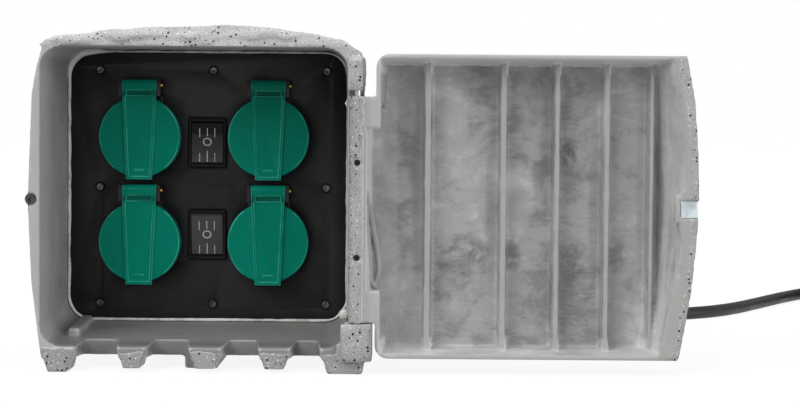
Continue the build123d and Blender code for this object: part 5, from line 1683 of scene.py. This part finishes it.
@dataclass
class Housing(Maker):
    """The two boulder halves, re-skinned with rounded edges and stone lumps."""

    front_voxel: float = 0.0014
    rear_voxel: float = 0.0016
    eye: Point = (121.0, -1072.0, 138.4)
    brow_foot: float = 191.8
    # Beyond this side and below this top, the rear half's inner wall is drawn inwards
    low_side: float = 0.066
    low_top: float = 0.040
    low_narrowing: float = 0.968
    # X, Z, half width, half height and half depth, in metres
    rim_lumps: Patches = (
        (-0.070, 0.1960, 0.020, 0.0028, 0.0020),
        (-0.036, 0.1985, 0.022, 0.0034, 0.0026),
        (0.000, 0.1975, 0.018, 0.0030, 0.0022),
        (0.040, 0.1985, 0.024, 0.0036, 0.0026),
        (0.0892, 0.1596, 0.0015, 0.0028, 0.0007),
    )
    # The rock's top as it is seen from the front, X and Z in millimetres
    outline: Outline = (
        (-91.7, 192.0), (-89.4, 194.9), (-82.3, 197.9), (-75.3, 198.6), (-68.2, 199.2),
        (-61.2, 199.9), (-54.1, 201.7), (-47.1, 202.3), (-40.0, 201.8), (-33.0, 203.0),
        (-25.9, 203.6), (-4.7, 203.8), (9.4, 204.5), (16.4, 205.1), (30.5, 204.6),
        (37.6, 204.1), (44.6, 203.6), (51.7, 202.5), (58.7, 201.3), (65.8, 200.8),
        (72.8, 199.7), (79.9, 198.0), (86.9, 196.9), (94.0, 192.2),
    )

    def roughness(self, point: Vector) -> float:
        """How much the stone lumps may move a point of the front half.

        Args:
            point: The point.

        Returns:
            0 where something fits, 1 where the rock is free.
        """
        free = max(
            ramp(abs(point.x), 0.0935, 0.0965) * ramp(point.y, FRONT + 0.0008, FRONT + 0.01),
            ramp(point.z, 0.1925, 0.196),
        )
        away = math.hypot(point.x - HINGE[0], point.y - HINGE[1])
        near_block = ramp(point.x, 0.0845, 0.0885) * ramp(point.y, FRONT + 0.042, FRONT + 0.03)
        below = ramp(point.z, 0.193, 0.1905)
        free *= 1.0 - near_block * below
        free *= ramp(away, 0.008, 0.016)
        free *= ramp(point.z, 0.0095, 0.016)
        return free * ramp(point.y, 0.0168, 0.013)

    def gusset(self) -> Piece:
        """The low bar on the recess floor, near the left wall."""
        piece = self.bench.bar((-0.0795, -0.0400, 0.0160), (-0.0725, 0.0085, 0.0232), 0.0016)
        for vertex in piece.data.vertices:
            share = ramp(vertex.co.y, -0.0385, 0.0085)
            vertex.co.z += 0.0032 * share
        return piece

    def brow(self) -> list[Piece]:
        """Flat lumps of rock along the top of the front rim, and a small one beside it."""
        pieces = []
        for x, z, wide, tall, deep in self.rim_lumps:
            bpy.ops.mesh.primitive_ico_sphere_add(subdivisions=4, radius=1.0)
            lump = bpy.context.active_object
            lump.scale = (wide, deep, tall)
            lump.location = (x, FRONT + 0.0006, z)
            self.bench.settle(lump, "lump")
            for vertex in lump.data.vertices:
                push = noise.noise(vertex.co * 90.0) * min(0.0016, wide * 0.2)
                vertex.co.z += push
                vertex.co.y += push
            pieces.append(lump)
        return pieces

    def target(self, x: float) -> float:
        """The height of the rock's outline over a place across, in millimetres."""
        if x <= self.outline[0][0]:
            return self.outline[0][1]
        for (x0, z0), (x1, z1) in zip(self.outline, self.outline[1:]):
            if x <= x1:
                return z0 + (z1 - z0) * (x - x0) / (x1 - x0)
        return self.outline[-1][1]

    def crown(self, piece: Piece, seam: tuple[float, float], lift: bool) -> None:
        """Raises or lowers the rock's top so that its outline runs as it should from the front.

        Args:
            piece: The skin.
            seam: Depths between which the change dies away, in metres.
            lift: Whether the top may also be raised.
        """
        step = 2.0
        tops: dict[int, float] = {}
        seen = []
        for vertex in piece.data.vertices:
            x, y, z = (value / MM for value in vertex.co)
            near = (FRONT / MM - self.eye[1]) / (y - self.eye[1])
            across = self.eye[0] + (x - self.eye[0]) * near
            height = self.eye[2] + (z - self.eye[2]) * near
            place = round(across / step)
            seen.append(across)
            if z > self.brow_foot and height > tops.get(place, 0.0):
                tops[place] = height
        shares: dict[int, float] = {}
        for place, top in tops.items():
            want = self.target(place * step) - self.brow_foot
            shares[place] = want / max(top - self.brow_foot, 1.0)
        for vertex, across in zip(piece.data.vertices, seen):
            if vertex.co.z <= self.brow_foot * MM:
                continue
            place = math.floor(across / step)
            low = shares.get(place, 1.0)
            high = shares.get(place + 1, low)
            share = low + (high - low) * (across / step - place)
            share = share if lift else min(share, 1.0)
            if seam[0] < seam[1]:
                hold = ramp(vertex.co.y, *seam)
            else:
                hold = 1.0 - ramp(vertex.co.y, *seam[::-1])
            above = vertex.co.z - self.brow_foot * MM
            vertex.co.z += above * (min(share, 2.0) - 1.0) * hold

    def build_front(self) -> None:
        """Skins the front half."""
        piece = self.bench.copy_node("housing_front", "housing_front_skin")
        self.bench.join(piece, self.gusset(), *self.brow())
        self.bench.reskin(piece, self.front_voxel, 1)
        self.bench.weigh(piece, "free", self.roughness)
        self.bench.lumps(piece, "free", (0.017, 0.003), (0.006, 0.001))
        self.crown(piece, (0.0166, 0.004), True)
        self.bench.smooth_shade(piece, 50.0)
        self.dress(piece, "housing", "granite", Body.ROOT, "housing_front")
        LOG.info("housing front: %d faces", len(piece.data.polygons))

    def rear_roughness(self, point: Vector) -> float:
        """How much the stone lumps may move a point of the rear half.

        Args:
            point: The point.

        Returns:
            1 on the outer faces, 0 at the seam, the screw holes, the bush and inside.
        """
        free = max(
            ramp(abs(point.x), 0.086, 0.09),
            ramp(point.z, 0.189, 0.193),
            ramp(point.y, 0.0628, 0.0645),
        )
        for x in (-0.08, 0.08):
            for z in (0.0544, 0.1544):
                free *= ramp(math.hypot(point.x - x, point.z - z), 0.005, 0.008)
        bush = math.hypot(point.x - 0.040, point.z - 0.0264)
        free *= ramp(bush, 0.011, 0.015) * ramp(point.z, 0.021, 0.038)
        return free * ramp(point.y, 0.0188, 0.023)

    def corner_fill(self) -> Piece:
        """A block that thickens the rear half's wall in its low left corner, inside."""
        corner = self.bench.bar((-0.0878, 0.0480, 0.0205), (-0.0815, 0.0635, 0.0315))
        for vertex in corner.data.vertices:
            if vertex.co.x < -0.085:
                vertex.co.x += 0.0018 * ramp(vertex.co.y, 0.0480, 0.0635)
        return corner

    def build_rear(self) -> None:
        """Skins the rear half."""
        piece = self.bench.copy_node("housing_rear", "housing_rear_skin")
        for vertex in piece.data.vertices:
            inside = vertex.normal.x * vertex.co.x < 0.0
            if inside and abs(vertex.co.x) > self.low_side and vertex.co.z < self.low_top:
                vertex.co.x *= self.low_narrowing
                vertex.co.y -= 0.0012 if vertex.co.y > 0.045 else 0.0
        self.bench.join(piece, self.corner_fill())
        self.bench.reskin(piece, self.rear_voxel, 2)
        self.bench.weigh(piece, "free", self.rear_roughness)
        self.bench.lumps(piece, "free", (0.022, 0.005), (0.007, 0.0014))
        self.crown(piece, (0.019, 0.03), False)
        self.bench.smooth_shade(piece, 50.0)
        self.dress(piece, "housing", "granite", Body.ROOT, "housing_rear")
        LOG.info("housing rear: %d faces", len(piece.data.polygons))


# Door


@dataclass
class Door(Maker):
    """The ribbed door tray with its beads, ejector rings and grub screws."""

    voxel: float = 0.00125
    barrel: tuple[float, float] = (0.0303, 0.1638)
    holes: tuple[float, ...] = (0.0691, 0.1249)
    floor_y: float = FRONT + 0.0274
    free_rim: tuple[Outline, ...] = (
        (
            (290.2, 121.0), (288.4, 112.2), (286.6, 108.6), (285.4, 106.5), (293.6, 106.5),
            (293.4, 121.0),
        ),
        (
            (285.2, 91.0), (286.8, 79.2), (286.1, 65.3), (284.0, 54.2), (279.9, 38.9),
            (275.7, 18.1), (274.9, 13.4), (281.5, 13.0), (283.0, 18.0), (287.5, 38.9),
            (290.5, 54.2), (293.0, 79.2), (293.7, 91.0),
        ),
    )
    rings: Outline = (
        (123.4, 168.4), (198.9, 168.8), (260.6, 168.4), (112.6, 93.0),
        (255.9, 96.1), (124.0, 28.9), (198.0, 26.8), (256.8, 29.2),
    )
    cuts: tuple[Point, ...] = ((98.7, -69.7, 145.0), (96.3, -70.75, 75.0))
    beads: tuple[tuple[Point, ...], ...] = (
        (
            (100.6, -62, 108), (102.0, -56, 101), (104.8, -44, 88), (107.4, -39.6, 74),
            (108.8, -39.0, 64), (108.6, -38.8, 56), (106.4, -38.8, 51.5),
        ),
        (
            (100.8, -60, 100), (101.4, -54, 84), (102.2, -46, 66), (103.4, -41, 55),
            (105.0, -39.4, 51.0), (107.4, -38.9, 49.5),
        ),
    )
    grub: Outline = (
        (0.0, 0.6), (0.55, 0.6), (0.6, -0.5), (1.5, -0.5), (1.78, -0.2), (1.78, 1.0), (0.0, 1.0),
    )

    def filled_bore(self) -> list[Piece]:
        """Rods that fill the barrel's bore between its cross holes, for a clean skin."""
        ends = [self.barrel[0]]
        for hole in self.holes:
            ends += [hole - 0.0025, hole + 0.0025]
        ends.append(self.barrel[1])
        pieces = []
        for low, high in zip(ends[::2], ends[1::2]):
            bpy.ops.mesh.primitive_cylinder_add(
                vertices=32,
                radius=0.0026,
                depth=high - low,
                location=(*HINGE, (low + high) / 2),
            )
            pieces.append(self.bench.settle(bpy.context.active_object, "bore_fill"))
        return pieces

    def freedom(self, point: Vector) -> float:
        """How much the stone lumps may move a point of the door's outside."""
        depth = point.y - FRONT
        back = ramp(depth, 0.0285, 0.031)
        bow = BOW_DEPTH * ((point.z - BOW_MIDDLE) * BOW_GROWTH) ** 2
        edge = HINGE[0] + DOOR_REACH - bow - FREE_SIDE_SLOPE * depth
        lean = 0.06 * depth
        behind_rim = ramp(depth, 0.003, 0.009)
        side = max(
            ramp(point.x, edge - 0.003, edge) * behind_rim,
            0.4 * ramp(point.z, 0.1855 - lean, 0.1868 - lean) * behind_rim,
            ramp(point.z, 0.0127 + lean, 0.0114 + lean) * behind_rim,
        )
        return max(back, side) * ramp(point.x, 0.104, 0.112)

    def inner_freedom(self, point: Vector) -> float:
        """How much the hand-trimmed free rim and the ribs wander at a point."""
        depth = point.y - FRONT
        ribs = ramp(depth, 0.03, 0.027) * ramp(depth, 0.0115, 0.0135)
        rim_share = ramp(point.x, 0.262, 0.27) * ramp(depth, 0.004, 0.009)
        return 0.5 * max(ribs, rim_share * ramp(depth, 0.03, 0.027))

    def build_shell(self) -> None:
        """Skins the tray."""
        piece = self.bench.copy_node("door_shell", "door_skin")
        rims = [self.bench.plate(part, FRONT, 0.0065) for part in self.free_rim]
        self.bench.join(piece, *rims, *self.filled_bore())
        self.bench.reskin(piece, self.voxel, 1)
        self.bench.weigh(piece, "free", self.freedom)
        self.bench.lumps(piece, "free", (0.02, 0.0042), (0.006, 0.0012))
        self.bench.weigh(piece, "inner", self.inner_freedom)
        self.bench.lumps(piece, "inner", (0.011, 0.0012))
        self.bench.smooth_shade(piece, 50.0)
        self.dress(piece, "door", "door", Body.DOOR, "door_shell")
        LOG.info("door: %d faces", len(piece.data.polygons))

    def build_trim(self) -> None:
        """The ejector rings, moulded beads and the grub screws in the barrel."""
        parts = []
        for x, z in self.rings:
            middle = (x * MM, self.floor_y + 0.00005, z * MM)
            parts.append(self.bench.ring(middle, (0.0063, 0.00024), (56, 8)))
        for way in self.beads:
            points = [(x * MM, y * MM, z * MM) for x, y, z in way]
            parts.append(self.bench.string(points, [0.0016] * len(points), "bead"))
        for x, y, z in self.cuts:
            parts.append(self.bench.ring((x * MM, y * MM, z * MM), (0.0014, 0.0003), (32, 8)))
        piece = self.bench.join(*parts)
        self.bench.settle(piece, "door_mould_marks")
        self.bench.smooth_shade(piece, 60.0)
        self.dress(piece, "mould_light", "door", Body.DOOR)
        grubs = []
        for z in self.holes:
            grub = self.bench.lathe(self.grub, "grub", 24)
            grub.location = (HINGE[0], FRONT - 0.0033, z)
            grubs.append(self.bench.settle(grub, "grub"))
        screw = self.bench.join(*grubs)
        self.bench.settle(screw, "door_grub_screws")
        self.bench.smooth_shade(screw, 35.0)
        self.dress(screw, "gasket", "black_screw", Body.DOOR)
        LOG.info("door trim: %d rings, %d beads", len(self.rings), len(self.beads))


# Panel, sealant and sockets


@dataclass
class PanelSet(Maker):
    """The black panel with its mould lines and sealant."""

    left: float = -88.8
    right: float = 88.8
    bottom: float = 22.7
    top: float = 193.8
    corner: float = 15.0
    bead_inset: float = 0.9
    bead_radius: float = 1.15
    bead_least: float = 0.6
    thick_corner: tuple[float, float] = (-81.0, 188.0)
    thick_extra: float = 1.2
    drop_profile: Outline = (
        (0.0, -1.3), (1.2, -1.15), (2.4, -0.7), (3.2, 0.1), (3.3, 1.2), (2.6, 2.4), (0.0, 2.8),
    )
    # Left edge, right edge, foot and top of each moulded line, in millimetres
    strokes: Patches = (
        (-1.0, 15.6, 109.0, 109.5),
        (15.3, 15.9, 96.6, 116.0),
        (14.2, 15.4, 114.2, 114.7),
        (15.8, 17.0, 114.2, 114.7),
        (14.2, 15.4, 98.0, 98.5),
        (15.8, 17.0, 98.0, 98.5),
        (-19.6, -1.2, 102.8, 103.3),
        (-1.7, -1.2, 97.6, 103.0),
        (-78.0, -77.6, 60.0, 84.0),
    )

    def edge_points(self, inset: float) -> list[tuple[float, float]]:
        """Points round the panel's edge, in millimetres.

        Args:
            inset: How far inside the recess wall.

        Returns:
            The (x, z) points, from the lower left, clockwise.
        """
        radius = self.corner - inset
        points: list[tuple[float, float]] = []
        corners = (
            (self.left + self.corner, self.bottom + self.corner, 270.0),
            (self.left + self.corner, self.top - self.corner, 180.0),
            (self.right - self.corner, self.top - self.corner, 90.0),
            (self.right - self.corner, self.bottom + self.corner, 0.0),
        )
        for x, z, start in corners:
            for step in range(7):
                angle = math.radians(start - 15.0 * step)
                points.append((x + radius * math.cos(angle), z + radius * math.sin(angle)))
        full: list[tuple[float, float]] = []
        for (x0, z0), (x1, z1) in zip(points, points[1:] + points[:1]):
            gap = math.hypot(x1 - x0, z1 - z0)
            pieces = max(1, round(gap / 5.0))
            for i in range(pieces):
                share = i / pieces
                full.append((x0 + (x1 - x0) * share, z0 + (z1 - z0) * share))
        return full

    def bead(self) -> None:
        """The hand-laid sealant, thicker in the upper left corner."""
        points: list[Point] = []
        radii: list[float] = []
        for x, z in self.edge_points(self.bead_inset):
            wave = noise.noise(Vector((x, z, 3.0)) * 0.07)
            fine = noise.noise(Vector((x, z, 9.0)) * 0.22)
            near = math.hypot(x - self.thick_corner[0], z - self.thick_corner[1])
            corner = self.thick_extra * (1.0 - ramp(near, 6.0, 17.0))
            thick = self.bead_radius + 0.3 * wave + 0.22 * fine + corner
            if z > 190.0 and x > -60.0:
                thick *= 0.75
            across = x - 0.5 * fine * (x / 90)
            points.append((across * MM, PANEL_FACE - 0.0001, (z + 0.3 * fine) * MM))
            radii.append(max(thick, self.bead_least) * MM)
        piece = self.bench.string(points, radii, "sealant_bead", closed=True)
        self.bench.settle(piece, "sealant_bead")
        self.bench.modify(piece, "REMESH", mode="VOXEL", voxel_size=0.0005, adaptivity=0.0)
        self.bench.modify(piece, "SMOOTH", factor=0.5, iterations=4)
        self.bench.smooth_shade(piece, 60.0)
        self.dress(piece, "sealant", "sealant", Body.ROOT, "panel_seal")
        LOG.info("sealant: %d faces", len(piece.data.polygons))

    def seam(self) -> None:
        """A thin black string in the gap between the panel and the recess wall, painted shade that
        stands in for the gap's shadow.
        """
        points = [(x * MM, PANEL_FACE - 0.0006, z * MM) for x, z in self.edge_points(-0.1)]
        piece = self.bench.string(points, [0.0005] * len(points), "panel_gap_shadow", closed=True)
        self.bench.settle(piece, "panel_gap_shadow")
        self.dress(piece, "gasket", "panel", Body.ROOT)

    def drop(self) -> None:
        """The drop of sealant on the rim, by the lower hinge block."""
        piece = self.bench.lathe(self.drop_profile, "sealant_drop", 40)
        self.bench.modify(piece, "SUBSURF", levels=2, render_levels=2)
        piece.location = (0.0885, FRONT + 0.0010, 0.0352)
        self.bench.settle(piece, "sealant_drop")
        self.bench.smooth_shade(piece, 60.0)
        self.dress(piece, "drop", "sealant", Body.ROOT)

    def panel(self) -> None:
        """The panel with broken edges and faint moulded arrows."""
        piece = self.bench.copy_node("socket_panel", "panel_plate")
        self.bench.break_edges(piece, Edge.MOULDED)
        self.dress(piece, "panel", "panel", Body.ROOT, "socket_panel")
        front, back = PANEL_FACE - 0.00022, PANEL_FACE + 0.0003
        bars = [
            self.bench.bar((x0 * MM, front, z0 * MM), (x1 * MM, back, z1 * MM), 0.00012)
            for x0, x1, z0, z1 in self.strokes
        ]
        lines = self.bench.join(*bars)
        self.bench.settle(lines, "panel_mould_lines")
        self.dress(lines, "panel", "panel", Body.ROOT)
        LOG.info("panel: %d mould lines", len(self.strokes))

    def build(self) -> None:
        """Builds the panel and all its sealant."""
        self.panel()
        self.bead()
        self.seam()
        self.drop()


@dataclass
class CarriedOver(Maker):
    """CAD nodes whose shape is right: a finish, and broken edges where they show."""

    edged: dict[str, tuple[str, str, Edge, Body]] = field(default_factory=dict)
    plain: dict[str, str] = field(
        default_factory=lambda: {
            "rear_gasket": "gasket",
            "cover_screws": "steel",
            "socket_ring_nuts": "socket",
            "socket_contacts": "brass",
            "earth_clips": "brass",
            "lid_springs": "steel",
            "switch_terminals": "brass",
            "door_hinge_pin": "steel",
            "cable_inner": "lead",
            "cord_clamp": "block",
            "terminal_block": "block",
            "live_wires": "brown",
            "switch_wires": "brown",
            "neutral_wires": "blue",
            "cable_cores": "blue",
            "earth_wires": "green",
            "coil_tie": "tape",
            "plug_pins": "magnet",
            "plug_earth_strips": "magnet",
        }
    )

    def __post_init__(self) -> None:
        """Lists the pieces that get broken edges."""
        self.edged = {
            "panel_screws": ("screw", "black_screw", Edge.CRISP, Body.ROOT),
            "catch_screw": ("screw", "black_screw", Edge.CRISP, Body.ROOT),
            "lid_hinge_pins": ("brass", "brass", Edge.MOULDED, Body.ROOT),
            "switch_body_lower": ("switch", "switch", Edge.MOULDED, Body.ROOT),
            "switch_body_upper": ("switch", "switch", Edge.MOULDED, Body.ROOT),
            "rocker_lower": ("rocker", "switch", Edge.SOFT, Body.ROCKER_LOWER),
            "rocker_upper": ("rocker", "switch", Edge.SOFT, Body.ROCKER_UPPER),
            "door_magnet": ("magnet", "magnet", Edge.MOULDED, Body.DOOR),
            "plug_body": ("lead", "lead_rubber", Edge.SOFT, Body.ROOT),
        }
        for spot in ("left_lower", "right_lower", "left_upper", "right_upper"):
            body = Body(f"lid_{spot}_body")
            self.edged[f"socket_{spot}"] = ("socket", "panel", Edge.MOULDED, Body.ROOT)
            self.edged[f"lid_{spot}"] = ("lid", "lid", Edge.CRISP, body)
            self.plain[f"lid_seal_{spot}"] = "gasket"

    def build(self) -> None:
        """Dresses them all."""
        for node, (finish, slot, edge, body) in self.edged.items():
            piece = self.bench.copy_node(node, f"{node}_dressed")
            self.bench.break_edges(piece, edge)
            self.dress(piece, finish, slot, body, node)
            LOG.info("%s: %d faces", piece.name, len(piece.data.polygons))
        for node, finish in self.plain.items():
            self.finishes.on(self.bench.nodes[node], finish)
        LOG.info("carried over with a finish alone: %d nodes", len(self.plain))


@dataclass
class RockerMarks(Maker):
    """The pale strokes and ring printed on each rocker."""

    middle_x: float = -0.6
    face_y: float = 6.6
    axis_y: float = 10.5
    columns: tuple[float, ...] = (-4.8, 0.0, 4.7)
    upper: tuple[float, float] = (3.3, 9.1)
    lower: tuple[float, float] = (-12.0, -6.5)
    half_stroke: float = 0.28
    proud: float = 0.06
    sunk: float = 0.2

    def strokes(self, height: float) -> list[Piece]:
        """The upright strokes of one rocker.

        Args:
            height: The rocker's middle, in millimetres.

        Returns:
            The strokes.
        """
        bars = []
        for column, offset in enumerate(self.columns):
            for low, high in (self.upper, self.lower):
                end = high + (1.4 if column == 1 and high < 0 else 0.0)
                start = low + (0.7 if high > 0 and column == 1 else 0.0)
                x = self.middle_x + offset
                bars.append(
                    self.bench.bar(
                        (
                            (x - self.half_stroke) * MM,
                            (self.face_y - self.proud) * MM,
                            (height + start) * MM,
                        ),
                        (
                            (x + self.half_stroke) * MM,
                            (self.face_y + self.sunk) * MM,
                            (height + end) * MM,
                        ),
                        0.00005,
                    )
                )
        return bars

    def build(self) -> None:
        """Prints both rockers."""
        for name, height, tilt, body in (
            ("lower", 78.0, 8.0, Body.ROCKER_LOWER),
            ("upper", 135.8, 0.0, Body.ROCKER_UPPER),
        ):
            parts = self.strokes(height)
            spot = (self.middle_x * MM, (self.face_y + 0.06) * MM, (height + 0.5) * MM)
            parts.append(self.bench.ring(spot, (0.0022, 0.00042), (48, 10), (1.1, 1.0, 0.35)))
            piece = self.bench.join(*parts)
            middle = Vector((self.middle_x * MM, self.axis_y * MM, height * MM))
            turn = Matrix.Translation(middle) @ Matrix.Rotation(math.radians(tilt), 4, "X")
            piece.matrix_world = turn @ Matrix.Translation(-middle)
            self.bench.settle(piece, f"rocker_{name}_marks")
            self.bench.smooth_shade(piece, 35.0)
            self.dress(piece, "marks", "switch", body)
        LOG.info("rocker marks: printed on both")


def main() -> None:
    """Builds the studio and dresses the part, piece by piece."""
    logging.basicConfig(level=logging.INFO, format="%(name)s: %(message)s")
    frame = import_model()
    bench = Bench(frame)
    Studio().build()
    finishes = Finishes()
    lead = SupplyLead(bench, finishes)
    lead.build()
    lead.bush()
    housing = Housing(bench, finishes)
    housing.build_front()
    housing.build_rear()
    door = Door(bench, finishes)
    door.build_shell()
    door.build_trim()
    for kind in (PanelSet, CarriedOver, RockerMarks):
        kind(bench, finishes).build()


if __name__ == "__main__":
    main()
